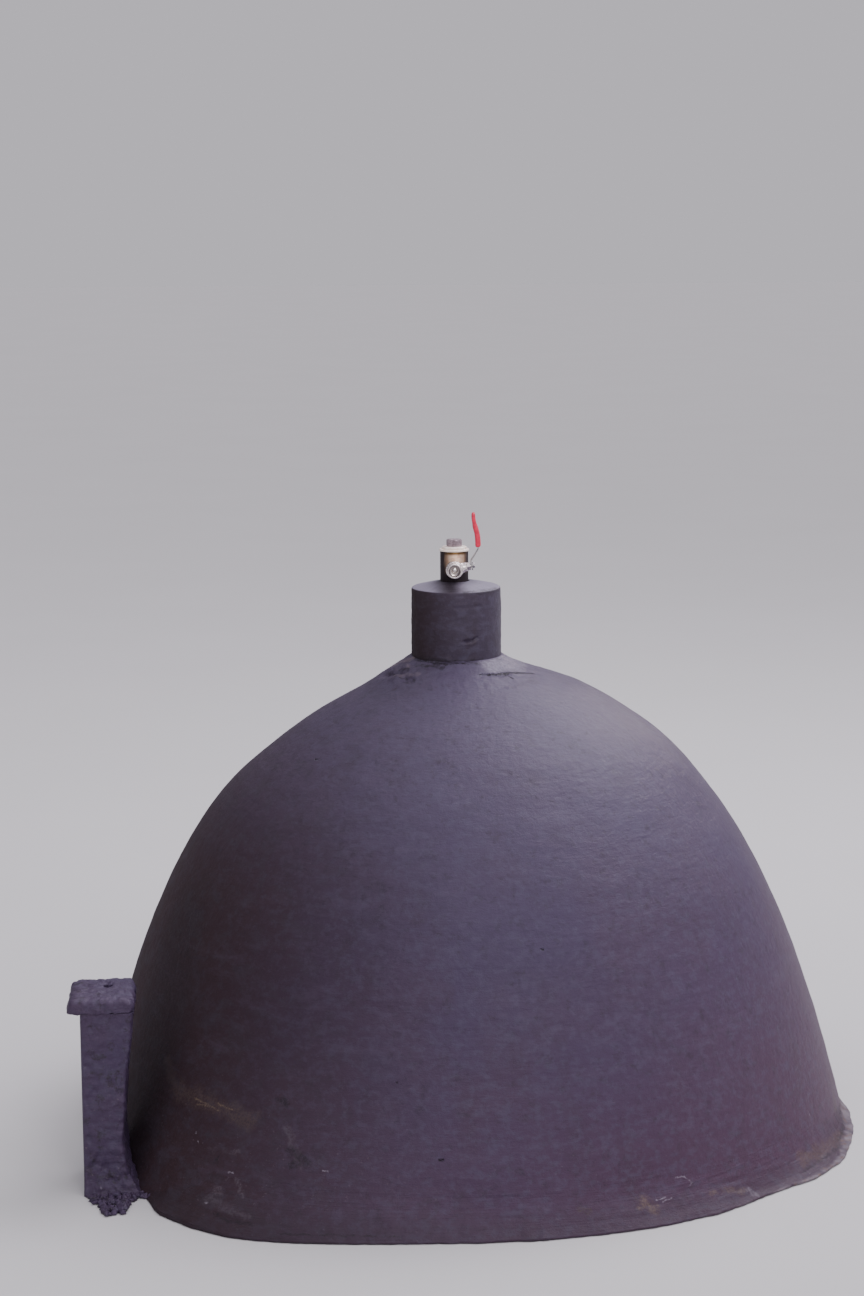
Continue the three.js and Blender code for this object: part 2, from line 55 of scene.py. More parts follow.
# Camera, floor and light. The camera is at eye height, 5.2 m in front of the dome, and looks a
# little down on it. The light is a soft overcast sky, brightest overhead and to the right and
# dark low on the left. The floor is plain and pale.

DOME_AXIS = (-0.007341, 0.006642)
EYE = (DOME_AXIS[0] - 0.064, DOME_AXIS[1] - 5.18, 1.715)
LOOK_DOWN, TILT = 9.366, -0.0075
FLOOR_EDGE, FLOOR_DROP = 40, 0.0015


def placed(name, data):
    """A new object in the scene."""
    made = bpy.data.objects.new(name, data)
    bpy.context.scene.collection.objects.link(made)
    return made


camera = placed("camera", bpy.data.cameras.new("camera"))
camera.data.lens = 80
camera.data.sensor_width = 36
camera.matrix_world = (
    Matrix.Translation(EYE)
    @ Matrix.Rotation(math.radians(90 - LOOK_DOWN), 4, "X")
    @ Matrix.Rotation(TILT, 4, "Z")
)
bpy.context.scene.camera = camera


class Value:
    """A socket in a node tree, so that its maths reads as plain arithmetic."""

    def __init__(self, bench, socket):
        self.bench, self.socket = bench, socket

    def maths(self, operation, *numbers):
        return self.bench.node("ShaderNodeMath", {"operation": operation}, *numbers)

    def __add__(self, other):
        return self.maths("ADD", self, other)

    def __radd__(self, other):
        return self.maths("ADD", other, self)

    def __sub__(self, other):
        return self.maths("SUBTRACT", self, other)

    def __rsub__(self, other):
        return self.maths("SUBTRACT", other, self)

    def __mul__(self, other):
        return self.maths("MULTIPLY", self, other)

    def __rmul__(self, other):
        return self.maths("MULTIPLY", other, self)

    def __truediv__(self, other):
        return self.maths("DIVIDE", self, other)

    def __rtruediv__(self, other):
        return self.maths("DIVIDE", other, self)

    def __abs__(self):
        return self.maths("ABSOLUTE", self)

    def most(self, other):
        return self.maths("MAXIMUM", self, other)

    def between(self, low, high):
        """0 below low, 1 above high and a smooth step from one to the other."""
        settings = {"interpolation_type": "SMOOTHSTEP"}
        return self.bench.node("ShaderNodeMapRange", settings, self, low, high, 0.0, 1.0)


class Bench:
    """A node tree that is being put together."""

    def __init__(self, tree):
        self.tree = tree

    def node(self, kind, settings, *sockets, output=0, **named):
        """Adds a node, fills its sockets in order or by name and returns one output."""
        made = self.tree.nodes.new(kind)
        for setting, value in settings.items():
            setattr(made, setting, value)
        pairs = [*zip(made.inputs, sockets)]
        pairs += [(made.inputs[name.replace("_", " ")], value) for name, value in named.items()]
        for socket, value in pairs:
            if isinstance(value, Value):
                self.tree.links.new(value.socket, socket)
            elif value is not None:
                socket.default_value = (*value, 1.0) if socket.type == "RGBA" else value
        return Value(self, made.outputs[output])

    def vector(self, operation, *sockets, **named):
        output = "Value" if operation in ("DOT_PRODUCT", "DISTANCE", "LENGTH") else "Vector"
        settings = {"operation": operation}
        return self.node("ShaderNodeVectorMath", settings, *sockets, output=output, **named)

    def blend(self, share, first, second):
        """A colour that goes from the first to the second."""
        sockets = (share, *[None] * 5, first, second)
        return self.node("ShaderNodeMix", {"data_type": "RGBA"}, *sockets, output=2)


class Finish(Bench):
    """A material whose nodes read a place on the piece in metres."""

    def __init__(self, name, **constants):
        self.material = bpy.data.materials.new(name)
        self.material.use_nodes = True
        super().__init__(self.material.node_tree)
        self.shader = self.tree.nodes["Principled BSDF"]
        for socket, value in constants.items():
            self.shader.inputs[socket.replace("_", " ")].default_value = value
        self.place = self.node("ShaderNodeTexCoord", {}, output="Object")

    def grain(self, scale, detail=2.0, roughness=0.5, place=None, output=0):
        """Soft noise from 0 to 1, with scale swells to the metre."""
        named = {"Vector": place or self.place, "Scale": scale, "Detail": detail}
        return self.node("ShaderNodeTexNoise", {}, Roughness=roughness, output=output, **named)

    def stretched(self, scale, turn=(0.0, 0.0, 0.0)):
        """The place with each direction scaled, for streaks and strokes."""
        return self.node("ShaderNodeMapping", {}, self.place, Rotation=turn, Scale=scale)

    def ragged(self, scale, amount):
        """The place pushed about by up to amount, so that a mark on it has a torn outline."""
        push = self.grain(scale, 4.0, 0.65, output="Color")
        push = self.vector("SUBTRACT", push, (0.5, 0.5, 0.5))
        return self.vector("ADD", self.place, self.vector("SCALE", push, Scale=4.0 * amount))

    def along(self, direction):
        """How far the place lies along a direction, in metres."""
        return self.vector("DOT_PRODUCT", self.place, direction)

    def near(self, start, end, reach, place=None):
        """1 on the line from start to end, falling to 0 at a distance of reach from it."""
        place = place or self.place
        if start != end:
            run = Vector(end) - Vector(start)
            from_start = self.vector("SUBTRACT", place, start)
            share = self.vector("DOT_PRODUCT", from_start, tuple(run / run.length_squared))
            share = self.node("ShaderNodeClamp", {}, share, 0.0, 1.0)
            spot = self.vector("SCALE", tuple(run), Scale=share)
            return 1.0 - self.vector("DISTANCE", from_start, spot).between(0.0, reach)
        return 1.0 - self.vector("DISTANCE", place, start).between(0.0, reach)

    def bump(self, height, depth, below=None):
        """A normal from a height of 0 to 1 that stands for a depth in metres."""
        named = {"Height": height, "Strength": 1.0, "Distance": depth, "Normal": below}
        return self.node("ShaderNodeBump", {}, **named)

    def wear(self, **values):
        """Links values to the shader's sockets."""
        for name, value in values.items():
            self.tree.links.new(value.socket, self.shader.inputs[name.replace("_", " ")])
        return self.material


pale = Finish("pale_floor", Roughness=0.95, Specular_IOR_Level=0.1)
pale.wear(Base_Color=pale.blend(pale.grain(1.5, 3.0), (0.60, 0.59, 0.58), (0.63, 0.62, 0.61)))
floor_corners = [(-1, -1), (1, -1), (1, 1), (-1, 1)]
floor_corners = [(x * FLOOR_EDGE, y * FLOOR_EDGE, 0) for x, y in floor_corners]
floor_mesh = bpy.data.meshes.new("floor")
floor_mesh.from_pydata(floor_corners, [], [(0, 1, 2, 3)])
floor_mesh.materials.append(pale.material)
floor = placed("floor", floor_mesh)
floor.location.z = -FLOOR_DROP

world = bpy.data.worlds.new("sky")
world.use_nodes = True
bpy.context.scene.world = world
sky = Bench(world.node_tree)
direction = sky.node("ShaderNodeTexCoord", {}, output="Generated")
upward = sky.vector("DOT_PRODUCT", direction, (0.36, -0.24, 0.902))
brightness = 0.13 + upward.between(-0.20, 1.0) * 1.30
overcast = sky.vector("SCALE", (0.93, 0.90, 1.0), Scale=brightness)
backdrop = sky.node("ShaderNodeLightPath", {}, output="Is Camera Ray")
seen_sky = sky.blend(backdrop, overcast, (0.584, 0.562, 0.612))
sky.tree.links.new(seen_sky.socket, sky.tree.nodes["Background"].inputs["Color"])


def lamp(name, kind, place, target, power, colour, **settings):
    """A lamp that stands at a place and shines at a target."""
    data = bpy.data.lights.new(name, kind)
    for setting, value in dict(settings, energy=power, color=colour).items():
        setattr(data, setting, value)
    facing = (Vector(target) - Vector(place)).to_track_quat("-Z", "Y").to_matrix().to_4x4()
    placed(name, data).matrix_world = Matrix.Translation(place) @ facing


wide = dict(shape="RECTANGLE", size=3.6, size_y=2.8)
small = dict(shape="RECTANGLE", size=0.5, size_y=0.5)
narrow = dict(spot_size=math.radians(15), spot_blend=1.0, shadow_soft_size=0.12)
far = dict(spot_size=math.radians(14), spot_blend=1.0, shadow_soft_size=0.5)
lamp("sky_right", "AREA", (2.2, 1.8, 4.6), (0, 0, 0.6), 204, (0.92, 0.89, 1.0), **wide)
lamp("sky_front", "AREA", (0.4, -3.6, 2.6), (0, 0, 1.0), 14, (1.0, 0.98, 0.96), **small)
lamp("gleam", "SPOT", (0.35, -1.55, 1.80), (-0.03, -0.02, 1.04), 40, (1.0, 0.96, 0.93), **narrow)
lamp("glow_behind", "SPOT", (2.1, 3.7, 2.3), (0.33, -0.05, 0.72), 150, (1.0, 0.84, 0.82), **far)


# Dome. A masonry dome, 65 mm thick, rendered with cement mortar by trowel and painted with black
# bitumen paint, in one with the collar of mortar round its neck. It isn't quite true: its axis
# wanders, its foot is haunched at the front left, and the collar is broken and has lifted.

DOME_CURVE = np.array([(0.694, 0.0), (0.570, 0.468), (0.471, 0.697), (0.084, 0.841)])
DOME_LEAN = [(0.0, -0.003), (0.58, -0.003), (0.72, 0.009), (0.785, 0.009), (0.841, -0.0195)]
DOME_WALL, DOME_STATIONS = 0.065, 496
NECK_RADIUS, NECK_BORE, NECK_FOOT = 0.0815, 0.062, 0.8413
COLLAR_RISE, COLLAR_SPREAD = 0.0095, 0.026
OUTLET_AXIS, NECK_TOP = (DOME_AXIS[0] - 0.0225, DOME_AXIS[1]), 0.977
CRACK_WIDTH, CRACK_DEPTH, LIFT_RISE, LIFT_SPREAD = 0.0022, 0.0030, 0.0016, 0.018
RIDGE_RISE, SEAM_DEPTH, LUMP_RISE, GRAVEL_RISE = 0.0022, 0.0055, 0.0034, 0.0011


def eased(steps, at):
    """The value at each place in a list of (place, value) steps, eased between the steps."""
    places, values = np.array(steps).T
    step = np.clip(np.searchsorted(places, at) - 1, 0, len(places) - 2)
    share = np.clip((at - places[step]) / (places[step + 1] - places[step]), 0, 1)
    return values[step] + (values[step + 1] - values[step]) * share * share * (3 - 2 * share)


def round_line(azimuth, radius, height, x=0.0, y=0.0):
    """Points round an upright line. Azimuth 0 is the right, and 270 degrees the front."""
    points = x + radius * np.cos(azimuth), y + radius * np.sin(azimuth), height
    return np.stack(np.broadcast_arrays(*points), axis=-1)


def on_dome(azimuth, radius, height, lean=None):
    """Points round the dome's axis, which leans a little to and fro with the height."""
    lean = eased(DOME_LEAN, height) if lean is None else lean
    return round_line(azimuth, radius, height, DOME_AXIS[0] + lean, DOME_AXIS[1])


def haunch(azimuth, height):
    """How far the foot is thickened at the front left."""
    away = (np.degrees(azimuth) % 360 - 234.7) / 15
    return 0.077 * np.exp(-0.5 * away**2) * np.clip(1 - height / 0.3, 0, 1) ** 2


def lengths_along(line):
    """The distance along a line of points to each of them."""
    return np.concatenate([[0], np.cumsum(np.linalg.norm(np.diff(line, axis=0), axis=1))])


def points_at(line, distances):
    """The points at distances along a line of points."""
    along = lengths_along(line)
    return np.stack([np.interp(distances, along, axis) for axis in line.T], axis=1)


def dome_section(steps):
    """Radius, height and outward slope of the dome's outside, at steps along it from 0 to 1."""
    t = np.linspace(0, 1, 1501)[:, None]
    a, b, c, d = DOME_CURVE
    curve = a * (1 - t) ** 3 + 3 * b * t * (1 - t) ** 2 + 3 * c * t**2 * (1 - t) + d * t**3
    at = steps * lengths_along(curve)[-1]
    before, points, ahead = (points_at(curve, at + more) for more in (-0.001, 0, 0.001))
    slope = (ahead - before) / np.linalg.norm(ahead - before, axis=1)[:, None]
    return points, np.stack([slope[:, 1], -slope[:, 0]], axis=1)


def bell(values, centre, width, power=2):
    """1 where the values are at the centre, falling away on both sides of it."""
    return np.exp(-(((values - centre) / width) ** power))


def swells(points, size, seed, octaves=1):
    """Smooth random values of about -1 to 1 at the points, in swells about as long as size."""
    size = np.array(size, float) * np.ones(3)
    shift = np.array([3.7, 1.9, 5.3]) * seed
    flat = (points.reshape(-1, 3) / size + shift).tolist()
    found = [noise.fractal(p, 1.0, 2.0, octaves) for p in flat]
    return np.array(found).reshape(points.shape[:-1])


def pressed(points, outward, touches):
    """Points pushed in or out as by a tool's edge.

    A touch gives the x, y, z of its start and of its end, its width and its depth, in mm."""
    for touch in touches:
        *ends, width, depth = (number / 1000 for number in touch)
        start, run = np.array(ends[:3]), np.array(ends[3:]) - ends[:3]
        from_start = points - start
        share = np.clip(from_start @ run / max(run @ run, 1e-9), 0, 1)
        away = np.linalg.norm(from_start - share[..., None] * run, axis=-1) / width
        points = points + outward * (depth * np.exp(-(away**2)))[..., None]
    return points


def mended(mesh, weld=None):
    """Welds the points of a mesh that lie closer than weld, and turns its faces outward."""
    shell = bmesh.new()
    shell.from_mesh(mesh)
    if weld:
        bmesh.ops.remove_doubles(shell, verts=shell.verts, dist=weld)
        bmesh.ops.dissolve_degenerate(shell, dist=weld / 10, edges=shell.edges)
    bmesh.ops.recalc_face_normals(shell, faces=shell.faces)
    shell.to_mesh(mesh)
    shell.free()


def smoothed(mesh, keep_flat):
    """Shades a mesh smooth, apart from edges of more than keep_flat degrees."""
    mesh.shade_smooth()
    mesh.set_sharp_from_angle(angle=math.radians(keep_flat))


def lofted(name, rings, closed=True, keep_flat=30, **fields):
    """A body with a skin over rings of points. It is capped at both ends or closed on itself.

    Each field gives a number to every point, for the finish or the relief to read."""
    count, size = rings.shape[:2]
    here, k = np.meshgrid(np.arange(count if closed else count - 1), np.arange(size), indexing="ij")
    after, k_after = (here + 1) % count, (k + 1) % size
    faces = np.stack(
        [here * size + k, here * size + k_after, after * size + k_after, after * size + k], axis=-1
    )
    faces = faces.reshape(-1, 4).tolist()
    if not closed:
        faces += [list(range(size)), list(range((count - 1) * size, count * size))]
    mesh = bpy.data.meshes.new(name)
    mesh.from_pydata(rings.reshape(-1, 3).tolist(), [], faces)
    mended(mesh)
    for field, values in fields.items():
        made = mesh.attributes.new(field, "FLOAT", "POINT")
        made.data.foreach_set("value", np.broadcast_to(values, (count, size)).astype(float).ravel())
    smoothed(mesh, keep_flat)
    return placed(name, mesh)


def settled(piece, spent=None, keep_flat=35):
    """Turns a piece's modifiers into its own mesh and removes what was spent on them."""
    bpy.context.view_layer.update()
    shape = piece.evaluated_get(bpy.context.evaluated_depsgraph_get())
    mesh = bpy.data.meshes.new_from_object(shape)
    piece.modifiers.clear()
    piece.data = mesh
    smoothed(mesh, keep_flat)
    if spent is not None:
        bpy.data.objects.remove(spent)
    return piece


class Form(Bench):
    """A Geometry Nodes tree with named sizes, used up on a piece to give a plain mesh."""

    def __init__(self, name, *sizes):
        super().__init__(bpy.data.node_groups.new(name, "GeometryNodeTree"))
        kinds = {"Geometry": "NodeSocketGeometry", "Material": "NodeSocketMaterial"}
        for size in ("Geometry", *sizes, "Material"):
            kind = kinds.get(size, "NodeSocketFloat")
            self.tree.interface.new_socket(size, in_out="INPUT", socket_type=kind)
        self.tree.interface.new_socket("Geometry", in_out="OUTPUT", socket_type=kinds["Geometry"])
        self.given = self.tree.nodes.new("NodeGroupInput")

    def size(self, name):
        return Value(self, self.given.outputs[name])

    def close(self, geometry):
        whole = self.node("GeometryNodeRealizeInstances", {}, geometry)
        whole = self.node("GeometryNodeSetMaterial", {}, whole, Material=self.size("Material"))
        result = self.tree.nodes.new("NodeGroupOutput")
        self.tree.links.new(whole.socket, result.inputs[0])

    def made_of(self, piece, material, keep_flat=50, **sizes):
        """Runs the tree on a piece, with sizes given by name, and keeps the plain result."""
        modifier = piece.modifiers.new(self.tree.name, "NODES")
        modifier.node_group = self.tree
        for item in self.tree.interface.items_tree:
            if item.in_out == "INPUT" and item.name.replace(" ", "_") in sizes:
                modifier[item.identifier] = sizes[item.name.replace(" ", "_")]
            if item.in_out == "INPUT" and item.name == "Material":
                modifier[item.identifier] = material
        settled(piece, keep_flat=keep_flat)
        for field in ("free", "coarse"):
            if field in piece.data.attributes:
                piece.data.attributes.remove(piece.data.attributes[field])
        return piece


# The relief that a trowel leaves: long swells, flat strokes, grit and a few pits. A point moves
# along its normal, as far as the field "free" lets it, and the grit also follows "coarse".
RELIEF_SIZES = ("Swell Depth", "Swell Length", "Stroke Depth", "Stroke Length", "Stroke Height")
RELIEF_SIZES += ("Grit Depth", "Grit Size", "Pit Depth", "Pit Spacing")
relief = Form("trowelled_relief", *RELIEF_SIZES, "Seed")
spot = relief.node("GeometryNodeInputPosition", {})
free, coarse = (
    relief.node("GeometryNodeInputNamedAttribute", {"data_type": "FLOAT"}, field)
    for field in ("free", "coarse")
)


def waves(place, scale, detail):
    """Noise of about -1 to 1 that the seed moves."""
    settings = {"noise_dimensions": "4D"}
    named = {"Vector": place, "W": relief.size("Seed"), "Scale": scale, "Detail": detail}
    return (relief.node("ShaderNodeTexNoise", settings, **named) - 0.5) * 4.0


stroke_scale = relief.node(
    "ShaderNodeCombineXYZ",
    {},
    *[1.0 / relief.size("Stroke " + way) for way in ("Length", "Length", "Height")],
)
raised = waves(spot, 1.0 / relief.size("Swell Length"), 1.0) * relief.size("Swell Depth")
stroke_place = relief.vector("MULTIPLY", spot, stroke_scale)
raised = raised + waves(stroke_place, 1.0, 2.0) * relief.size("Stroke Depth")
grit = waves(spot, 1.0 / relief.size("Grit Size"), 2.0) * relief.size("Grit Depth")
raised = raised + grit * coarse
pit_cells = {"Vector": spot, "Scale": 1.0 / relief.size("Pit Spacing")}
pit_away = relief.node("ShaderNodeTexVoronoi", {}, output="Distance", **pit_cells)
pit_luck = relief.node("ShaderNodeTexVoronoi", {}, output="Color", **pit_cells)
pit_luck = relief.vector("DOT_PRODUCT", pit_luck, (0.5, 0.3, 0.2))
pit = (1.0 - pit_away.between(0.05, 0.42)) * pit_luck.between(0.55, 0.70)
raised = raised - pit * relief.size("Pit Depth")
push = relief.vector("SCALE", relief.node("GeometryNodeInputNormal", {}), Scale=raised * free)
relief.close(relief.node("GeometryNodeSetPosition", {}, relief.size("Geometry"), Offset=push))


def trowelled(piece, material, swell, stroke, grit, pit, seed, keep_flat=50):
    """Works the relief into a piece, with each depth and then each length or height in mm."""
    names = [name.replace(" ", "_") for name in RELIEF_SIZES]
    sizes = dict(zip(names, (size / 1000 for size in (*swell, *stroke, *grit, *pit))))
    return relief.made_of(piece, material, keep_flat, Seed=seed, **sizes)


azimuths = np.linspace(0, 2 * math.pi, DOME_STATIONS, endpoint=False)[:, None]
degrees = np.degrees(azimuths)
foot = np.linspace(0, 0.06, 22, endpoint=False)
flank = np.linspace(0.06, 0.865, 70, endpoint=False)
section, outward = dome_section(np.concatenate([foot, flank, np.linspace(0.865, 1, 54)]))
radius, height = section.T
skin = on_dome(azimuths, radius + haunch(azimuths, height), height)
dome_out = round_line(azimuths, *outward.T)

# The collar thins out over the crown. Its front right part ends in a lifted edge, and its left is
# broken mortar.
from_neck = np.clip(radius - NECK_RADIUS, 0, None)
lifted = bell(degrees, 305, 17, 4) + 0 * radius
crack_radius = 0.119 + 0.028 * np.clip((degrees - 292) / 50, 0, 1) ** 1.5
wander = on_dome(azimuths, np.array([0.12]), np.array([0.82]))
crack_radius = crack_radius + 0.0028 * swells(wander, 0.016, 31, 2)
beyond = (radius - crack_radius) / CRACK_WIDTH
collar = COLLAR_RISE * np.exp(-from_neck / COLLAR_SPREAD) + 0 * azimuths
lift = np.exp(-np.clip(crack_radius - radius, 0, 1) / LIFT_SPREAD) * (beyond < 0)
collar = collar + lifted * (LIFT_RISE * lift - CRACK_DEPTH * bell(beyond, 0.55, 1))
left_lumps = bell(degrees, 207, 30) * bell(radius, 0.118, 0.030)
lumps = LUMP_RISE * swells(skin, 0.026, 33, 3) + GRAVEL_RISE * swells(skin, 0.010, 34, 2) - 0.0008
seam = bell(radius, 0.0835, 0.003) * bell(degrees, 235, 50) * (0.6 + 0.5 * swells(skin, 0.02, 32))
ridge = bell(radius, 0.097, 0.010) * bell(degrees, 338, 34)
skin[..., 2] += collar + RIDGE_RISE * ridge + left_lumps * lumps - SEAM_DEPTH * seam
collar_touches = [
    (-157.3, -12, 815.7, -150, -30, 818, 9, -5), (-129.5, -42.9, 825.3, -118, -58, 826, 8, -4.2),
    (-120.2, -84.5, 817.9, -106, -96, 818, 8, -4.5), (-140, -56, 819, -133, -70, 819, 10, 4.5),
    (-151.2, -15.6, 815, -140.2, -46.4, 819, 4.6, -3.2),
    (-140.2, -46.4, 819, -126.9, -57.5, 823.5, 4.6, -3.6),
    (-130.7, -76.2, 819.5, -117.6, -77.9, 818, 4.6, -3.2),
    (-138.9, -30, 824, -124, -47, 829, 6, 2.4), (-113.7, -53.3, 832, -105.8, -59.5, 833, 7, 2),
    (56, -65, 840, 70, -42, 838, 9, 1.8), (-163.2, -678.8, 40.1, -150, -680, 40, 16, 2.2),
    (-295.1, -643.6, 69.4, -280, -648, 68, 18, 2), (-520, -440, 120, -490, -470, 125, 30, -2.5),
]
skin = pressed(skin, dome_out, collar_touches)
free_skin = np.clip(height / 0.02, 0, 1) * np.clip(0.25 + from_neck / 0.02, 0, 1) + 0 * azimuths
near_foot = np.clip(1 - height / 0.14, 0, 1)
coarse_skin = 0.25 + 3.0 * left_lumps + 0.5 * near_foot + 0.35 * (radius < 0.16)

inner, inner_out = dome_section(np.linspace(0, 1, 25))
inner = inner - inner_out * DOME_WALL
inner[0] = (DOME_CURVE[0, 0] - DOME_WALL, 0)
inner[-1, 0] = NECK_BORE
inside = on_dome(azimuths, inner[:, 0], inner[:, 1], eased(DOME_LEAN, inner[:, 1] + DOME_WALL))
lip = np.array([(NECK_RADIUS - 0.001, 0.8495), (NECK_RADIUS - 0.001, 0.841), (NECK_BORE, 0.841)])
under_neck = on_dome(azimuths, *lip.T)
free_inside = np.zeros((DOME_STATIONS, 25)) + 0.6 * (np.arange(25) % 24 > 0)
dome = lofted(
    "dome_render",
    np.concatenate([skin, under_neck, inside[:, ::-1]], axis=1),
    free=np.concatenate([free_skin, np.zeros((DOME_STATIONS, 3)), free_inside], axis=1),
    coarse=np.concatenate([coarse_skin, np.zeros((DOME_STATIONS, 28))], axis=1),
)

# The near-black colour is mostly painted shade, where it darkens crevices, dents and gaps.
TAN, CHALK, SOIL = (0.23, 0.165, 0.105), (0.42, 0.38, 0.44), (0.078, 0.052, 0.046)
ASH, NEAR_BLACK, PINK = (0.125, 0.105, 0.125), (0.014, 0.010, 0.014), (0.185, 0.140, 0.160)
# The pale colour is a painted highlight.
PALE_HIGHLIGHT = (0.29, 0.265, 0.325)
UP = (0.0, 0.0, 1.0)


def near_chains(paint, chains, place):
    """1 on the lines of chains and 0 beyond their reach.

    A chain is x, y, z, reach, x, y, z, reach, x, y, z and so on in mm. One of four is a spot."""
    nearest = None
    for chain in chains:
        metres = [number / 1000 for number in chain]
        for k in range(0, len(chain) - 3, 4):
            start, reach, end = metres[k : k + 3], metres[k + 3], metres[k + 4 : k + 7]
            line = paint.near(tuple(start), tuple(end or start), reach, place)
            nearest = line if nearest is None else nearest.most(line)
    return nearest


def black_paint(
    name, marks=(), pits=(), stroke=1.0, runs=0.15, rough=1.0,
    shade=(-0.08, 0.45), crown=0.55, dark=0.0, light=None,
):
    """Satin black paint on trowelled mortar.

    Marks are (colour, strength, raggedness in mm, chains), and pits are chains, darkened as
    painted shade. The paint goes brown leftwards between the two places in shade, a painted
    shade, less so by the share crown towards the crown, and dark all over by the share dark, a
    painted shade. A light of (height, colour) is a paler coat, brushed out from the outlet, from
    there up, partly a painted highlight, with a painted shadow of the turret in front of it."""
    paint = Finish(name, IOR=1.45, Specular_IOR_Level=0.36)
    height = paint.along(UP)
    low = 1.0 - height.between(0.0, 0.34)
    low_right = paint.along((0.50, 0.0, -1.0)).between(-0.42, 0.30)
    leftward = paint.along((-1.0, 0.12, 0.0)).between(*shade)
    cloud = paint.grain(3.4, 4.0, 0.6)
    worn = paint.grain(21.0, 5.0, 0.72, paint.stretched((1.0, 1.0, 1.7)))
    run = paint.grain(1.0, 4.0, 0.6, paint.stretched((17.0, 17.0, 1.6)))
    strokes = paint.grain(8.0, 5.0, 0.6, paint.stretched((1.0, 1.0, 4.5), (0.12, 0.08, 0.0)))
    blotch = paint.grain(46.0, 6.0, 0.78)
    mottle = paint.grain(58.0, 5.0, 0.70, paint.stretched((1.0, 1.0, 1.3)))
    dust = paint.grain(130.0, 4.0, 0.75, paint.stretched((1.0, 1.0, 1.6)))
    coats_and_shading = [
        # A cool painted highlight towards the crown and a warm painted reflection low on the right.
        (height.between(0.35, 0.85) * 0.9, (0.075, 0.057, 0.100)),
        (low_right * 0.88, (0.064, 0.024, 0.051)),
        # Brown painted shade on the left, and worn patches there.
        (leftward * (0.85 - height.between(0.45, 0.80) * crown), (0.028, 0.012, 0.011)),
        (worn.between(0.47, 0.62) * leftward * 0.45, (0.040, 0.031, 0.043)),
        # Dark all over by the share dark, a painted shade.
        (dark, (0.020, 0.012, 0.016)),
        # Runs of water, brush strokes, dull blotches, grey mottle and dust, most of it low down.
        (run.between(0.50, 0.72) * runs, (0.034, 0.020, 0.023)),
        (strokes.between(0.55, 0.75) * 0.14, (0.115, 0.090, 0.140)),
        (blotch.between(0.52, 0.68) * (0.48 * rough), (0.030, 0.020, 0.030)),
        (mottle.between(0.44, 0.66) * (0.36 - leftward * 0.28), (0.082, 0.072, 0.116)),
        (dust.between(0.60, 0.74) * (0.12 + low * 0.24) * rough, (0.165, 0.130, 0.155)),
    ]
    colour = paint.blend(cloud.between(0.36, 0.64), (0.061, 0.037, 0.073), (0.057, 0.038, 0.081))
    for share, tone in coats_and_shading:
        colour = paint.blend(share, colour, tone)
    # A paler screed top, paler towards its rim, partly a painted highlight.
    if light:
        light_from, pale_coat_and_highlight = light
        from_outlet = paint.vector("SUBTRACT", paint.place, (*OUTLET_AXIS, NECK_TOP))
        brushed = paint.vector("NORMALIZE", paint.vector("MULTIPLY", from_outlet, (1.0, 1.0, 0.0)))
        brushed = paint.grain(9.0, 4.0, 0.65, brushed).between(0.25, 0.75)
        outward = paint.vector("LENGTH", from_outlet).between(0.018, 0.058)
        thin_coat_and_shade = tuple(0.40 * c for c in pale_coat_and_highlight)
        paler = paint.blend(brushed * 0.15 + outward * 0.85, thin_coat_and_shade, pale_coat_and_highlight)
        # A painted shadow of the turret and valve on the screed in front of them.
        turret_shadow_line = [
            (OUTLET_AXIS[0] - 0.008, OUTLET_AXIS[1] - ahead, z)
            for ahead, z in ((0.018, 0.986), (0.082, 0.975))
        ]
        painted_turret_shadow = paint.near(*turret_shadow_line, 0.040, paint.ragged(30.0, 0.004))
        paler = paint.blend(painted_turret_shadow * 0.92, paler, (0.024, 0.015, 0.022))
        edge = (height + (strokes - 0.5) * 0.002).between(light_from, light_from + 0.0012)
        colour = paint.blend(edge * 0.9, colour, paler)
    broken = paint.grain(210.0, 4.0, 0.75).between(0.36, 0.60) * 0.8 + 0.2
    torn = {tear: paint.ragged(350 / tear, tear / 1000) for tear in {mark[2] for mark in marks}}
    for stain, strength, tear, chains in marks:
        spots = near_chains(paint, chains, torn[tear]).between(0.10, 0.95)
        colour = paint.blend(spots * broken * strength, colour, stain)
    normal = paint.bump(strokes, 0.0028 * stroke)
    normal = paint.bump(paint.grain(95.0, 3.0, 0.55), 0.0011 * stroke, normal)
    normal = paint.bump(paint.grain(430.0, 3.0, 0.7), 0.0005 * stroke, normal)
    # The pits are bumped in and darkened; the darkening is painted shade.
    if pits:
        holes = near_chains(paint, pits, paint.ragged(110.0, 0.0022))
        normal = paint.bump(1.0 - holes, 0.003, normal)
        colour = paint.blend(holes.between(0.30, 0.75) * 0.85, colour, (0.010, 0.007, 0.010))
    paint.colour, paint.normal = colour, normal
    paint.roughness = 0.38 + cloud * 0.12 + dust * 0.12 + leftward * 0.34
    paint.wear(Base_Color=colour, Roughness=paint.roughness, Normal=normal)
    return paint
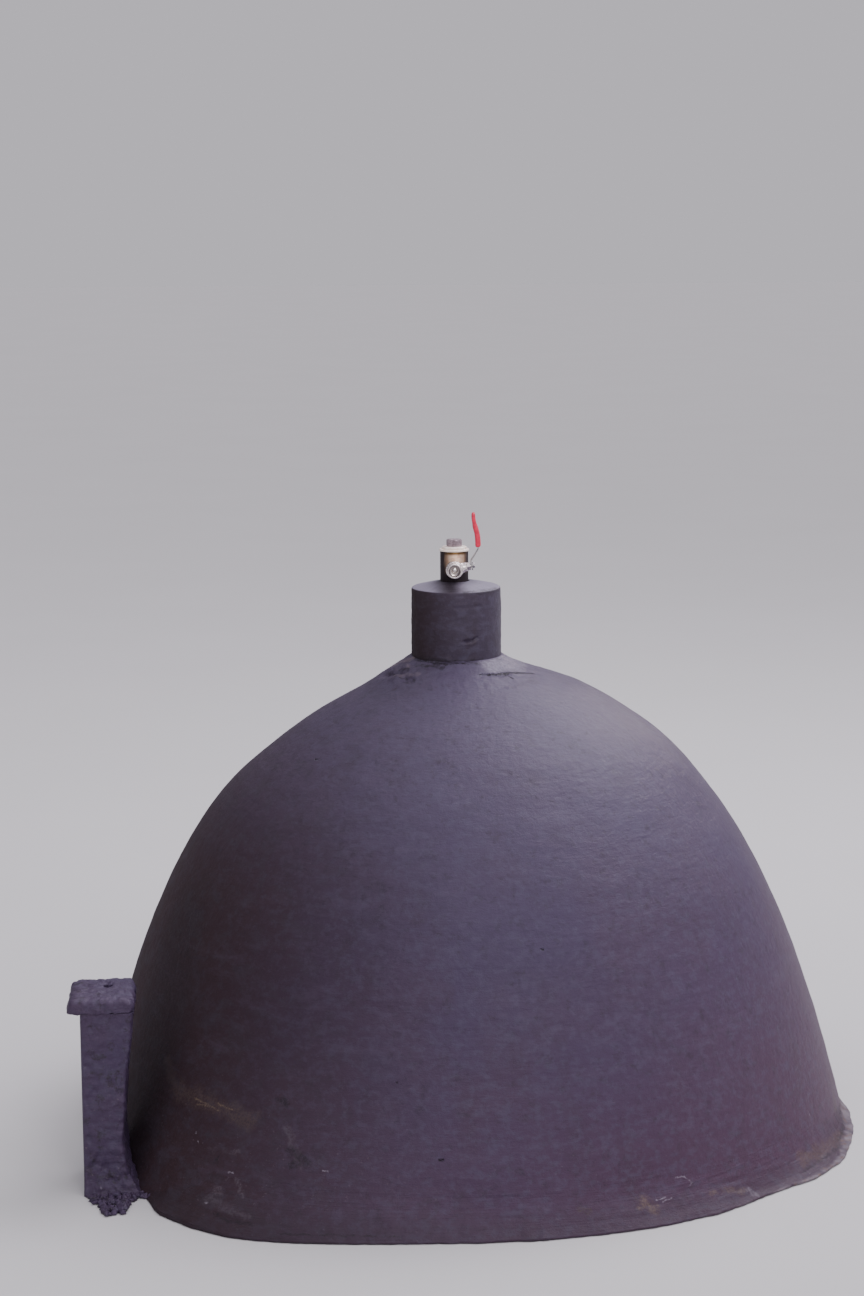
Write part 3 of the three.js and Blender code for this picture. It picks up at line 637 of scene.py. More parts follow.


# Mud, chips and chalk at the foot, painted shade in the crevices and dents of the collar and in
# dents on the dome, a broad painted shade on the left flank beside the stub wall, a painted
# highlight on the collar's right and pink mortar on its left. The pits are small holes, and the
# gap under the collar's lifted edge, all darkened as painted shade.
dome_marks = [
    (SOIL, 0.55, 12, [
        (-536, -360, 197, 20, -517, -411, 161, 34, -454, -483, 164, 30, -383, -547, 157),
    ]),
    (TAN, 0.42, 2, [
        (-481, -454, 162, 3.2, -460, -479, 160, 3.2, -438, -503, 157),
        (-477, -464, 155, 2.6, -448, -493, 159), (-439, -497, 166, 3, -413, -521, 163),
    ]),
    (CHALK, 0.40, 2, [
        (-417, -583, 76, 3, -409, -587, 76), (-477, -495, 116, 3.2, -476, -496, 113),
        (-473, -510, 105, 2.8, -472, -511, 104), (-257, -638, 96, 2.8, -249, -641, 96),
        (588, -303, 73, 3.5, 589, -302, 73),
    ]),
    # A broad painted shade on the left flank, beside the stub wall.
    (NEAR_BLACK, 0.62, 12, [(-600, -330, 60, 190, -560, -260, 420)]),
    (ASH, 0.28, 8, [
        (-296, -624, 102, 14, -318, -586, 153), (-452, -545, 100, 14, -405, -575, 110),
    ]),
    (SOIL, 0.45, 10, [(655, -157, 40, 30, 664, -100, 90)]),
    # Painted shade in the dents.
    (NEAR_BLACK, 0.75, 6, [
        (-335.6, -553.8, 194, 10, -318.4, -566.1, 187.6),
        (-311, -607.5, 120, 17, -285.5, -624, 107), (-312, -619, 100, 10, -296, -624, 102),
        (-439, -560, 84, 8, -438, -558, 92),
    ]),
    # Painted shade in the collar's crevices and where the neck meets it.
    (NEAR_BLACK, 0.85, 5, [
        (-157.3, -12, 822, 11, -150, -30, 824), (-129.5, -42.9, 832, 10, -118, -58, 833),
        (-120.2, -84.5, 820.5, 9, -106, -96, 820.5), (-98, -60, 842, 9, -52, -88, 841),
    ]),
    # A painted highlight on the collar's right.
    (PALE_HIGHLIGHT, 0.44, 12, [(36, -72, 840, 44, 66, -42, 840, 52, 80, 4, 838, 48, 70, 50, 838)]),
    (NEAR_BLACK, 0.90, 8, [
        (-97, -42, 848, 11, -66, -69, 847.5, 12, -40, -80, 847), (-30, -84, 847, 7, 20, -72, 847),
    ]),
    (NEAR_BLACK, 0.92, 3, [
        (-151.2, -15.6, 817, 4.8, -140.2, -46.4, 820.5, 4.8, -126.9, -57.5, 825),
        (-130.7, -76.2, 821, 5.2, -117.6, -77.9, 819),
        (-122.8, -89.6, 814, 4.2, -116.2, -95.6, 814),
        (-107.2, -19.1, 847.7, 5, -95.2, -39.2, 847.5),
        (-61, -69.9, 845.8, 5.8, -44.1, -82.4, 844.6),
        (-34.9, -78, 847, 3.2, -19.2, -81.6, 846.1, 3, -3.5, -77.8, 846.7),
    ]),
    (PINK, 0.65, 6, [(-148, 19, 824, 16, -123, 8, 838, 14, -110, -23, 845)]),
    (PINK, 0.45, 6, [(-136, -60, 826, 13, -98, -88, 830), (-117, -30, 836, 9, -112, -52, 836)]),
]
dome_pits = [
    (-134.4, -607.8, 236, 3.5), (-64.5, -655.6, 119.9, 3, -60, -656, 119.9),
    (104.6, -526.9, 438, 3, 110, -525.5, 438), (-277.1, -200.6, 696.5, 4, -274, -205, 696),
    (73.2, -475.6, 536.5, 3),
    (13, -103.5, 829, 3.4, 30, -98.5, 827.8, 4.6, 48, -93.5, 827.2, 5.8, 68, -77, 826.6, 5.5,
     88, -59, 825.2, 4.5, 113, -40, 819.5),
    (56, -85, 828, 3.5, 72, -96, 822),
]
dome_paint = black_paint("black_dome_paint", dome_marks, dome_pits)
trowelled(dome, dome_paint.material, (2.0, 360), (0.8, 200, 55), (1.3, 17), (1.6, 160), 3.0)
dome_shape = np.empty(len(dome.data.vertices) * 3)
dome.data.vertices.foreach_get("co", dome_shape)
dome_shape = dome_shape.reshape(DOME_STATIONS, -1, 3)[:, : len(radius)]
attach(dome, "digester")
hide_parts("dome_shell", "neck_collar")


# Skirt. A ring of cement mortar pushed against the dome's foot with the trowel, to seal it to the
# ground. The paint runs down over it, and stops short of its ragged edge on the right, where the
# mortar stays bare and grey.

# Steps of (degrees, mm) round the foot, for round_foot to read.
SKIRT_REACH = [
    (222, 1), (229, 21), (235, 26), (241, 32), (252, 25), (268, 24.5), (278, 26.5), (303, 31),
    (316, 25), (325, 41), (331, 43), (344, 26), (352, 14), (361, 2), (368, 2), (382, 14),
    (505, 17), (525, 1),
]
SKIRT_HEIGHT = [
    (222, 12), (236, 70), (300, 72), (328, 64), (346, 30), (358, 10), (374, 6), (390, 30),
    (525, 12),
]
SKIRT_SHELF = [
    (222, 1), (240, 2), (300, 3), (318, 8), (328, 14), (344, 14), (354, 12), (362, 2), (525, 4),
]
BARE_STRIP = [
    (282, -6), (296, -2), (310, -1), (320, 3), (328, 9), (344, 16), (358, 22), (400, 8), (525, 6),
]
FOOT_RADIUS, FOOT_LEAN = DOME_CURVE[0, 0], DOME_LEAN[0][1]
LEDGE_STEP, LEDGE_RISE = 0.0012, 0.0022

skirt_degrees = np.linspace(222, 525, 940)[:, None]
skirt_azimuth = np.radians(skirt_degrees)


def round_foot(steps):
    """A size in metres all round the foot, from steps of (degrees, mm)."""
    return eased(steps, skirt_degrees) / 1000


def dome_face(azimuth_degrees, height):
    """The radius of the finished dome, with its relief, from its foot's axis."""
    flat = dome_shape[..., :2] - (DOME_AXIS[0] + FOOT_LEAN, DOME_AXIS[1])
    face = np.linalg.norm(flat, axis=-1)
    found = []
    for turn, heights in zip((azimuth_degrees[:, 0] % 360) / 360 * DOME_STATIONS, height):
        first, second = (
            np.interp(heights, dome_shape[s % DOME_STATIONS, :, 2], face[s % DOME_STATIONS])
            for s in (int(turn), int(turn) + 1)
        )
        share = turn - int(turn)
        found.append(first * (1 - share) + second * share)
    return np.array(found)


edge = on_dome(skirt_azimuth, np.array([0.72]), np.array([0.0]), FOOT_LEAN)
reach = round_foot(SKIRT_REACH)
thin = np.clip(reach / 0.018, 0.05, 1)
reach = reach + thin * (0.0026 * swells(edge, 0.06, 11, 2) + 0.0016 * swells(edge, 0.014, 12, 2))
lip_height = thin * (0.0036 + 0.0012 * swells(edge, 0.03, 13, 2))
top_height = round_foot(SKIRT_HEIGHT) * (1 + 0.10 * swells(edge, 0.16, 14, 2))
foot_radius = FOOT_RADIUS + haunch(skirt_azimuth, 0.0)
outer = foot_radius + np.clip(reach, 0.0006, None)
shelf_steps, upward_steps = np.linspace(0, 1, 5)[:-1], np.linspace(0, 1, 16)
shelf = np.minimum(round_foot(SKIRT_SHELF), reach * 0.5)
cove_foot = lip_height + LEDGE_RISE * thin
cove_height = cove_foot + (top_height - cove_foot) * upward_steps**1.15
face = dome_face(skirt_degrees, cove_height)
cove_reach = outer - LEDGE_STEP - shelf - face[:, :1]
rows = [
    (foot_radius - 0.012, 0),
    (outer - 0.0004, 0),
    (outer, lip_height * 0.35),
    (outer - 0.0005, lip_height * 0.80),
    (outer - LEDGE_STEP - shelf * shelf_steps, lip_height + LEDGE_RISE * thin * shelf_steps),
    (face + 0.0002 + cove_reach * (1 - upward_steps) ** 2.1, cove_height),
    (face[:, -1:] - 0.005, cove_height[:, -1:] - 0.003),
]
skirt_radius = np.concatenate([row for row, rise in rows], axis=1)
skirt_height = np.concatenate([rise + 0 * row for row, rise in rows], axis=1)
skirt_rings = on_dome(skirt_azimuth, skirt_radius, skirt_height, FOOT_LEAN)
skirt_out = np.concatenate([skirt_rings[..., :2] * 0.4, 0.3 + 0 * skirt_radius[..., None]], axis=-1)
lip_touches = [
    (-439, -629, 22, -413, -653, 16, 4.2, -6.5), (-413, -653, 16, -374, -670, 18, 4.2, -7),
    (-430, -650, 10, -372, -682, 11, 4.5, 3.5), (-441, -592, 48, -455, -580, 46, 9, 4),
    (-325, -696, 10, -246, -704, 11, 3.4, -4), (-246, -704, 11, -130, -710, 8, 3.4, -3.2),
]
skirt_rings[:, 3:-2] = pressed(skirt_rings[:, 3:-2], skirt_out[:, 3:-2], lip_touches)
skirt_rings[..., 2] = np.clip(skirt_rings[..., 2], 0, None)
free_skirt = np.array([0, 0, 0.4, 0.8] + [1.0] * 14 + [0.8, 0.6, 0.4, 0.2, 0.1, 0, 0]) * thin
skirt = lofted(
    "skirt_mortar",
    skirt_rings,
    closed=False,
    free=free_skirt,
    coarse=1.0,
    bare=round_foot(BARE_STRIP) - (outer - skirt_radius),
)

# Mortar and earth on the right, chalk, and painted shade in the gouges of the lip and under it.
EARTH = (0.135, 0.085, 0.062)
foot_marks = [
    (TAN, 0.42, 9, [(271, -623, 37, 17, 290, -629, 20), (262, -633, 28, 10, 279, -627, 28)]),
    (CHALK, 0.38, 2.4, [
        (326, -583, 59, 2.6, 340, -575, 59.5, 2.6, 356.5, -571, 48, 2.4, 353, -575, 44.5),
    ]),
    (CHALK, 0.50, 2.2, [
        (294, -615, 33, 2.6, 311, -605, 35), (304, -613, 29, 2.8, 321, -602, 32),
        (-453.5, -604, 31, 3, -450, -606, 31),
    ]),
    (TAN, 0.34, 9, [(386, -568, 28, 8, 411, -551, 23, 12, 450.5, -523, 16)]),
    (CHALK, 0.35, 6, [(459.5, -518, 12.5, 12, 468, -519, 6)]),
    (EARTH, 0.55, 10, [(563, -396, 22, 21, 596, -348, 19, 21, 638, -266, 12, 16, 655, -214, 11)]),
    (SOIL, 0.60, 6, [(161, -661, 36, 9, 181, -659, 32)]),
    (NEAR_BLACK, 0.70, 6, [(669, -94, 24, 9, 671, -160, 10, 8, 640, -290, 8, 7, 565, -418, 9)]),
    (ASH, 0.34, 8, [(-405, -595, 70, 7, -391, -621, 51), (-441, -592, 48, 10, -430, -600, 46)]),
    (ASH, 0.30, 10, [(-452, -600, 40, 16, -425, -628, 30, 14, -380, -655, 26)]),
    (NEAR_BLACK, 0.80, 4, [
        (-439, -629, 22, 6, -413, -653, 16, 7, -374, -670, 18),
        (-325, -696, 10, 4.5, -246, -704, 11, 4, -130, -710, 8),
    ]),
]
mortar = black_paint("part_painted_mortar", foot_marks, runs=0.25)
strip = mortar.node("ShaderNodeAttribute", {"attribute_name": "bare"}, output="Fac")
torn = (mortar.grain(30.0, 4.0, 0.6) - 0.5) * 0.024 + (mortar.grain(150.0, 3.0, 0.6) - 0.5) * 0.010
bare = (strip + torn).between(-0.0030, 0.0060)
sandy = mortar.grain(260.0, 4.0, 0.7)
patchy = mortar.grain(24.0, 4.0, 0.6).between(0.3, 0.7)
muddy = mortar.grain(52.0, 3.0, 0.6).between(0.52, 0.66)
cement = mortar.blend(patchy, (0.085, 0.066, 0.086), (0.200, 0.170, 0.190))
cement = mortar.blend(muddy * 0.50, cement, (0.16, 0.095, 0.065))
cement = mortar.blend(sandy.between(0.58, 0.72) * 0.35, cement, (0.30, 0.26, 0.29))
# The painted mortar darkens towards the ground, a painted shade.
foot = 1.0 - mortar.along(UP).between(0.004, 0.055)
ridges = mortar.grain(1.0, 3.0, 0.6, mortar.stretched((7.0, 7.0, 170.0)))
mortar.wear(
    Base_Color=mortar.blend(
        bare, mortar.blend(foot * 0.42, mortar.colour, (0.020, 0.012, 0.018)), cement
    ),
    Roughness=mortar.roughness + bare * 0.35,
    Normal=mortar.bump(sandy, 0.0009, mortar.bump(ridges, 0.0016, mortar.normal)),
)
trowelled(skirt, mortar.material, (0.6, 60), (0.7, 60, 6), (0.6, 10), (1.2, 50), 7.0)
for vertex in skirt.data.vertices:
    vertex.co = [min(max(c, low), high) for c, low, high in zip(vertex.co, cad_low, cad_high)]
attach(skirt, "digester")
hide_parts("base_skirt")


# Neck. A short round wall on the crown with a screed floated over its top, which falls away a
# little from the outlet. Both are rendered and painted in one with the dome. Its side has a faint
# crease, a gouge and float marks, and its top edge is rounded over by the float.

NECK_AXIS = (DOME_AXIS[0] - 0.0195, DOME_AXIS[1])
NECK_EDGE, EDGE_ROUND, EDGE_FALL = 0.9736, 0.003, 0.0032
SCREED_FOOT, SCREED_CROWN, SCREED_FROM, SCREED_WIDTH = 0.949, 0.0115, 0.0265, 0.055
PIPE_HOLE = 0.0215

neck_azimuth = np.linspace(0, 2 * math.pi, 300, endpoint=False)[:, None]
up_side = np.linspace(NECK_FOOT, NECK_EDGE - 0.004, 58)[1:]
turn = np.linspace(0, math.pi / 2, 6)[1:]
inward = np.linspace(0.0765, 0.0275, 22)
crowned = SCREED_CROWN * (1 - ((inward - SCREED_FROM) / SCREED_WIDTH) ** 1.15)
neck_profile = np.concatenate(
    [
        [(NECK_BORE, NECK_FOOT), (NECK_RADIUS - EDGE_ROUND, NECK_FOOT)],
        np.column_stack([NECK_RADIUS + 0 * up_side, up_side]),
        np.column_stack(
            [
                NECK_RADIUS - EDGE_ROUND * (1 - np.cos(turn)),
                NECK_EDGE - EDGE_FALL * (1 - np.sin(turn)),
            ]
        ),
        np.column_stack([inward, NECK_EDGE + crowned]),
        [(0.0266, NECK_EDGE + SCREED_CROWN - 0.0012), (0.0262, NECK_TOP), (0.0258, NECK_TOP)],
        [(PIPE_HOLE, NECK_TOP), (PIPE_HOLE, SCREED_FOOT), (NECK_BORE, SCREED_FOOT)],
    ]
)
spin, rise = neck_profile.T
to_outlet = np.clip((NECK_RADIUS - spin) / (NECK_RADIUS - PIPE_HOLE), 0, 1)
to_outlet = to_outlet * (rise > SCREED_FOOT - 0.0001)
to_outlet[-1] = 0
centre_x = NECK_AXIS[0] + (OUTLET_AXIS[0] - NECK_AXIS[0]) * to_outlet
neck_rings = round_line(neck_azimuth, spin, rise, centre_x, NECK_AXIS[1])
outside = (spin > 0.0805) & (rise > NECK_FOOT + 0.001)
neck_out = round_line(neck_azimuth, 1.0 * outside, 0.0)
neck_touches = [
    (-13, -74.2, 884.5, 0, -70.5, 885, 2.6, -3.4), (0, -70.5, 885, 9.5, -66, 890.5, 2.4, -3.2),
    (-12, -74.2, 880, 5, -69, 881.5, 2.4, 1.2), (-29, -74.7, 945.5, 15, -63, 947.5, 2, -1.1),
    (-29, -74.7, 950.5, 15, -63, 952, 3, 0.7), (-75, -52, 856, -42, -73, 852, 4.5, 1.8),
]
neck_rings = pressed(neck_rings, neck_out, neck_touches)
on_top = (rise > NECK_EDGE - 0.004) & (spin < 0.0805) & (spin > 0.029)
neck = lofted("neck_render", neck_rings, keep_flat=50, free=outside + 0.45 * on_top, coarse=1.0)
# The dark edge of the screed at its front right, and painted shade along the neck's foot.
neck_marks = [
    (NEAR_BLACK, 0.70, 2, [
        (-13.1, -72, 974.5, 10, 12.7, -62.5, 974.5, 13, 33.7, -44.8, 974.5, 11, 48, -20.4, 974.5),
    ]),
    (NEAR_BLACK, 0.85, 5, [
        (-106, -8, 850, 9, -86, -50.5, 850, 12, -46, -73, 848), (-30, -75, 849, 6, 20, -62, 849),
    ]),
]
# Painted shade: brown to the left, dark all over; the paler top is partly a painted highlight.
neck_paint = black_paint(
    "black_neck_paint",
    neck_marks,
    stroke=0.6,
    runs=0.7,
    shade=(0.005, 0.100),
    crown=0.0,
    dark=0.54,
    light=(0.9722, (0.245, 0.222, 0.288)),
)
trowelled(neck, neck_paint.material, (0.9, 70), (0.4, 50, 12), (0.3, 9), (1.2, 70), 5.0)
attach(neck, "digester")
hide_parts("neck_wall", "neck_screed")


# Stub wall. One narrow stack of mortared block, built against the dome's front left. It is
# rendered roughly and painted black, bows in at its waist on the dome's side and spreads into a
# mortar foot with crumbs of mortar round it.

STUB_TURN = math.radians(3.72)
STUB_LEFT, STUB_BACK = -0.694, -0.300
STUB_RIGHT = [(0, -594), (12, -603), (30, -614), (50, -621), (85, -626), (200, -618), (317, -604)]
STUB_FRONT = [(0, -452), (10, -446), (24, -440), (50, -437), (317, -436)]


def in_stub(points):
    """Points in the stub wall's own frame, which is turned a little about the dome's axis."""
    x, y, z = np.moveaxis(points, -1, 0)
    cos, sin = math.cos(STUB_TURN), math.sin(STUB_TURN)
    x, y = x * cos - y * sin, x * sin + y * cos
    return np.stack([DOME_AXIS[0] + x, DOME_AXIS[1] + y, z], axis=-1)


def rounded_plan(left, right, front, back, corner, count):
    """The outline of a rectangle with rounded corners, as even steps round it."""
    outline = []
    for k, (x, y) in enumerate([(right, front), (right, back), (left, back), (left, front)]):
        cx = x - math.copysign(corner, x - (left + right) / 2)
        cy = y - math.copysign(corner, y - (front + back) / 2)
        for a in np.radians(np.linspace(-90 + 90 * k, 90 * k, 7)):
            outline.append((cx + corner * math.cos(a), cy + corner * math.sin(a)))
    outline = np.array(outline + outline[:1])
    return points_at(outline, np.linspace(0, lengths_along(outline)[-1], count, endpoint=False))


def level(plan, z):
    """A plan as a ring of points at a height."""
    return np.column_stack([plan, np.full(len(plan), z)])


stub_rings = []
for z in np.concatenate([np.linspace(0, 0.012, 5), np.linspace(0.0155, 0.3165, 96)]):
    right, front = (np.interp(z, *np.array(line).T / 1000) for line in (STUB_RIGHT, STUB_FRONT))
    stub_rings.append(level(rounded_plan(STUB_LEFT, right, front, STUB_BACK, 0.006, 236), z))
stub_rings = np.array(stub_rings)
from_left, from_ground = stub_rings[..., 0] - STUB_LEFT, stub_rings[..., 2]
free_stub = np.clip(from_left / 0.004, 0, 1) * np.clip(from_ground / 0.004, 0, 1)
free_stub[-1] = 0
coarse_stub = 1 + 1.2 * np.clip(1 - from_ground / 0.06, 0, 1)
stub = lofted("stub_render", in_stub(stub_rings), False, 50, free=free_stub, coarse=coarse_stub)
# Chalk on its front, and the larger holes of its rough render, darkened as painted shade.
stub_marks = [
    (CHALK, 0.55, 2, [(-650, -482, 262, 4, -648, -482, 260), (-660, -484, 52, 5, -655, -484, 50)]),
    (CHALK, 0.50, 2, [(-645, -484, 14, 5, -632, -484, 12), (-655, -484, 118, 3, -654, -484, 116)]),
]
stub_pits = [
    (-665, -482, 116, 7, -662, -482, 113), (-655, -482, 92, 5, -652, -482, 92),
    (-648, -482, 180, 5, -644, -482, 181), (-638, -482, 240, 4, -634, -482, 240),
]
STUB_SHADE = (0.70, 1.40)
stub_paint = black_paint(
    "black_stub_paint", stub_marks, stub_pits, stroke=1.5, rough=2.4, shade=STUB_SHADE
)
trowelled(stub, stub_paint.material, (2.0, 60), (0.5, 30, 22), (1.9, 12), (3.8, 26), 9.0, 60)
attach(stub, "digester")
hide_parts("stub_wall", "stub_foot")

# The crumbs: lumps scattered on a strip of ground, turned and scaled at random, cut flat below.
crumbs = Form("mortar_crumbs", "Crumb Size", "Crumbs Per Square Metre", "Seed")


def at_random(low, high):
    """A vector between two, drawn for each crumb."""
    return crumbs.node("FunctionNodeRandomValue", {"data_type": "FLOAT_VECTOR"}, low, high)


strewn = crumbs.node(
    "GeometryNodeDistributePointsOnFaces",
    {"distribute_method": "RANDOM"},
    Mesh=crumbs.size("Geometry"),
    Density=crumbs.size("Crumbs Per Square Metre"),
    Seed=crumbs.size("Seed"),
)
lump_size = crumbs.size("Crumb Size")
lump = crumbs.node("GeometryNodeMeshIcoSphere", {}, Radius=lump_size, Subdivisions=2)
strewn = crumbs.node(
    "GeometryNodeInstanceOnPoints",
    {},
    Points=strewn,
    Instance=crumbs.node("GeometryNodeSetShadeSmooth", {}, lump),
    Rotation=at_random((0.0, 0.0, 0.0), (6.28, 6.28, 6.28)),
    Scale=at_random((0.35, 0.35, 0.25), (1.0, 1.0, 0.7)),
)
strewn = crumbs.node("GeometryNodeRealizeInstances", {}, strewn)
crumb_spot = crumbs.node("GeometryNodeInputPosition", {})
lumpy = {"Vector": crumb_spot, "Scale": 170.0, "Detail": 2.0}
lumpy = crumbs.node("ShaderNodeTexNoise", {}, output="Color", **lumpy)
lumpy = crumbs.vector("SCALE", crumbs.vector("SUBTRACT", lumpy, (0.5, 0.5, 0.5)), Scale=0.012)
strewn = crumbs.node("GeometryNodeSetPosition", {}, strewn, Offset=lumpy)
above = crumbs.vector("MAXIMUM", crumb_spot, (-10.0, -10.0, 0.0002))
crumbs.close(crumbs.node("GeometryNodeSetPosition", {}, strewn, Position=above))

crumb_strip = [
    (-685, -452), (-604, -454), (-586, -438), (-555, -452), (-560, -470), (-600, -468),
    (-620, -505), (-622, -540), (-650, -550), (-664, -500), (-684, -474),
]
crumb_mesh = bpy.data.meshes.new("stub_crumbs")
crumb_ground = in_stub(level(np.array(crumb_strip), 1) / 1000)
crumb_mesh.from_pydata(crumb_ground.tolist(), [], [list(range(len(crumb_strip)))])
stub_crumbs = placed("stub_crumbs", crumb_mesh)
crumb_sizes = dict(Crumb_Size=0.0085, Crumbs_Per_Square_Metre=24000.0, Seed=4.0)
crumbs.made_of(stub_crumbs, stub_paint.material, 180, **crumb_sizes)
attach(stub_crumbs, "digester")


# Stub cap. A flat pat of mortar, laid on top of the stub wall so that it laps over on the left.
# Its edges are broken, and a finger-sized hole was left in its top.

CAP_LEVELS = [
    (317, -1), (317.2, 1), (318.5, 1.8), (321.5, 2.2), (325, 2), (329, 1.4), (333, 0.6),
    (336.2, -1), (338.5, -3.4), (340, -6.8), (340.9, -11),
]
HOLE_LEVELS = [(340.5, 1.0), (339, 0.96), (333, 0.92), (327, 0.80), (326.2, 0.3)]
CAP_TOP, HOLE_CENTRE = 0.3412, np.array([-0.649, -0.348])

cap_rings = []
for z, grow in np.array(CAP_LEVELS) / 1000:
    sides = (-0.713 - grow, -0.605 + grow, -0.4365 - grow, -0.2965 + grow)
    cap_rings.append(level(rounded_plan(*sides, 0.012 + 0.8 * grow, 240), z))
rim_plan = cap_rings[-1][:, :2]
around = np.arctan2(rim_plan[:, 1] - HOLE_CENTRE[1], rim_plan[:, 0] - HOLE_CENTRE[0])
ragged_hole = 0.009 + 0.0012 * np.sin(3 * around + 0.6) + 0.0007 * np.sin(7 * around)
to_hole = ragged_hole[:, None] * np.stack([np.cos(around), np.sin(around)], axis=1)
for step in np.linspace(0.07, 0.94, 18):
    cap_rings.append(level(rim_plan + (HOLE_CENTRE + to_hole - rim_plan) * step, CAP_TOP))
for z, inward in HOLE_LEVELS:
    cap_rings.append(level(HOLE_CENTRE + to_hole * inward, z / 1000))
cap_rings = np.array(cap_rings)
free_cap = np.ones(cap_rings.shape[:2])
free_cap[0], free_cap[-len(HOLE_LEVELS) :] = 0, 0.2
cap = lofted("stub_cap_mortar", in_stub(cap_rings), False, 60, free=free_cap, coarse=1.3)
cap_paint = black_paint("black_cap_paint", stroke=1.6, rough=2.2, shade=STUB_SHADE)
trowelled(cap, cap_paint.material, (1.1, 60), (0.5, 30, 22), (1.9, 12), (3.8, 35), 12.0, 60)
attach(cap, "digester")
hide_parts("stub_cap")


# Gas pipe. A galvanised steel pipe through the screed, with the inside of the turret screwed over
# it. Little of it shows, so the solid from the frame stays and gets a zinc finish.


def clad(piece, finish):
    """Gives a piece a finish in place of the one it had."""
    piece.data.materials.clear()
    piece.data.materials.append(finish.material)


zinc = Finish("zinc_pipe", Metallic=1.0)
spangle = zinc.node("ShaderNodeTexVoronoi", {}, output="Color", Vector=zinc.place, Scale=240.0)
zinc_tone = zinc.node("ShaderNodeSeparateColor", {}, spangle, output="Red")
zinc.wear(
    Base_Color=zinc.blend(zinc_tone, (0.36, 0.37, 0.38), (0.52, 0.53, 0.54)),
    Roughness=0.35 + zinc_tone * 0.15,
)
clad(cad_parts["gas_pipe"], zinc)


# Turret. A brass coupling, screwed over the pipe until it sits on the screed, with a thicker rim at
# its top. The black paint was brushed up its flanks and foot, and the bare dull brass shows on the
# upper front and the back.

TURRET_CENTRE = Vector((*OUTLET_AXIS, NECK_TOP))
TAPPING_HEIGHT = 0.0345


def softened(profile, radius, steps=3):
    """A profile of points with each corner rounded off."""
    made = []
    for k in range(len(profile)):
        before, here, after = (np.array(profile[(k + j) % len(profile)]) for j in (-1, 0, 1))
        back, ahead = before - here, after - here
        room = min(np.linalg.norm(back), np.linalg.norm(ahead)) / 2.2
        if here[0] == 0 or room < 0.001:
            made.append(tuple(here))
            continue
        trim = min(radius, room)
        start = here + back / np.linalg.norm(back) * trim
        end = here + ahead / np.linalg.norm(ahead) * trim
        for t in np.linspace(0, 1, steps + 1):
            made.append(tuple(start * (1 - t) ** 2 + 2 * here * t * (1 - t) + end * t * t))
    return made


def turned(name, frame_at, profile, soft=0.0, stations=72, flats=0, across=0.0, steps=3):
    """A body turned about a line, from (radius, height) points in mm.

    Its corners are rounded by soft, and with flats it is so many-sided and so far across."""
    azimuth = np.linspace(0, 2 * math.pi, stations, endpoint=False)[:, None]
    spin, rise = np.array(softened(profile, soft, steps) if soft else profile).T
    if flats:
        off_flat = (azimuth + math.pi / flats) % (2 * math.pi / flats) - math.pi / flats
        spin = np.minimum(spin, across / 2 / np.cos(off_flat))
    made = lofted(name, round_line(azimuth, spin, rise) / 1000, keep_flat=38)
    mended(made.data, 1e-6)
    made.data.transform(frame_at)
    return made


def rod(name, frame_at, radius, low, high, stations):
    """A plain round body between two heights in mm, to cut a hole with."""
    return turned(name, frame_at, [(0, low), (radius, low), (radius, high), (0, high)], 0, stations)


def combined(operation, piece, other):
    """Cuts another body out of a piece or joins it on, and removes it."""
    step = piece.modifiers.new("step", "BOOLEAN")
    step.operation, step.object, step.solver = operation, other, "EXACT"
    return settled(piece, other)


on_screed = Matrix.Translation(TURRET_CENTRE)
to_mouth = Matrix.Rotation(math.pi / 2, 4, "X")
at_tapping = Matrix.Translation(TURRET_CENTRE + Vector((0, 0, TAPPING_HEIGHT))) @ to_mouth

body_profile = [(21.6, 0.3), (25.3, 0.3), (25.5, 1.5), (25.5, 60.5), (24.8, 62), (21.6, 62)]
turret = turned("turret_body_brass", on_screed, body_profile, 0.5)
combined("DIFFERENCE", turret, rod("tapping", at_tapping, 9.3, 0, 40, 48))

brass = Finish("part_painted_brass", Specular_IOR_Level=0.28)
brush = brass.grain(170.0, 4.0, 0.65, brass.stretched((1.0, 1.0, 0.22)))
off_front = abs(brass.along((1.0, 0.0, 0.0)) - (TURRET_CENTRE.x + 0.0022))
above_foot = brass.along(UP) - TURRET_CENTRE.z
covered = (off_front + brush * 0.010).between(0.0165, 0.0270)
covered = covered.most(1.0 - (above_foot + brush * 0.016).between(0.030, 0.046))
brass_cloud = brass.grain(120.0, 4.0, 0.6)
bare_brass = brass.blend(brass_cloud.between(0.35, 0.7), (0.80, 0.53, 0.38), (1.0, 0.80, 0.63))
# Bare brass darker towards the flanks, a painted shade, and dark brown in a band below the rim.
bare_brass = brass.blend(off_front.between(0.004, 0.019) * 0.8, bare_brass, (0.34, 0.22, 0.14))
bare_brass = brass.blend(above_foot.between(0.055, 0.060), bare_brass, (0.16, 0.09, 0.035))
brass.wear(
    Base_Color=brass.blend(covered, bare_brass, (0.014, 0.007, 0.010)),
    Metallic=1.0 - covered,
    Roughness=0.42 + covered * 0.12 + brass_cloud * 0.10,
    Normal=brass.bump(brush * covered, 0.0008),
)
clad(turret, brass)
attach(turret, "digester")
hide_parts("turret_body")

rim_profile = [(21.6, 62.3), (26.4, 62.3), (27.2, 63.2), (27.2, 65.1), (26.2, 66.3), (21.6, 66.3)]
turret_rim = turned("turret_rim_brass", on_screed, rim_profile, 0.6)
bush_profile = [(10.3, 53.6), (21.3, 53.6), (21.3, 66.6), (22.4, 66.6)]
bush_profile += [(22.4, 69.1), (20.9, 70.6), (10.3, 70.6)]
bush = turned("reducer_bush_brass", on_screed, bush_profile, 0.6, 96, 12, 44.4)


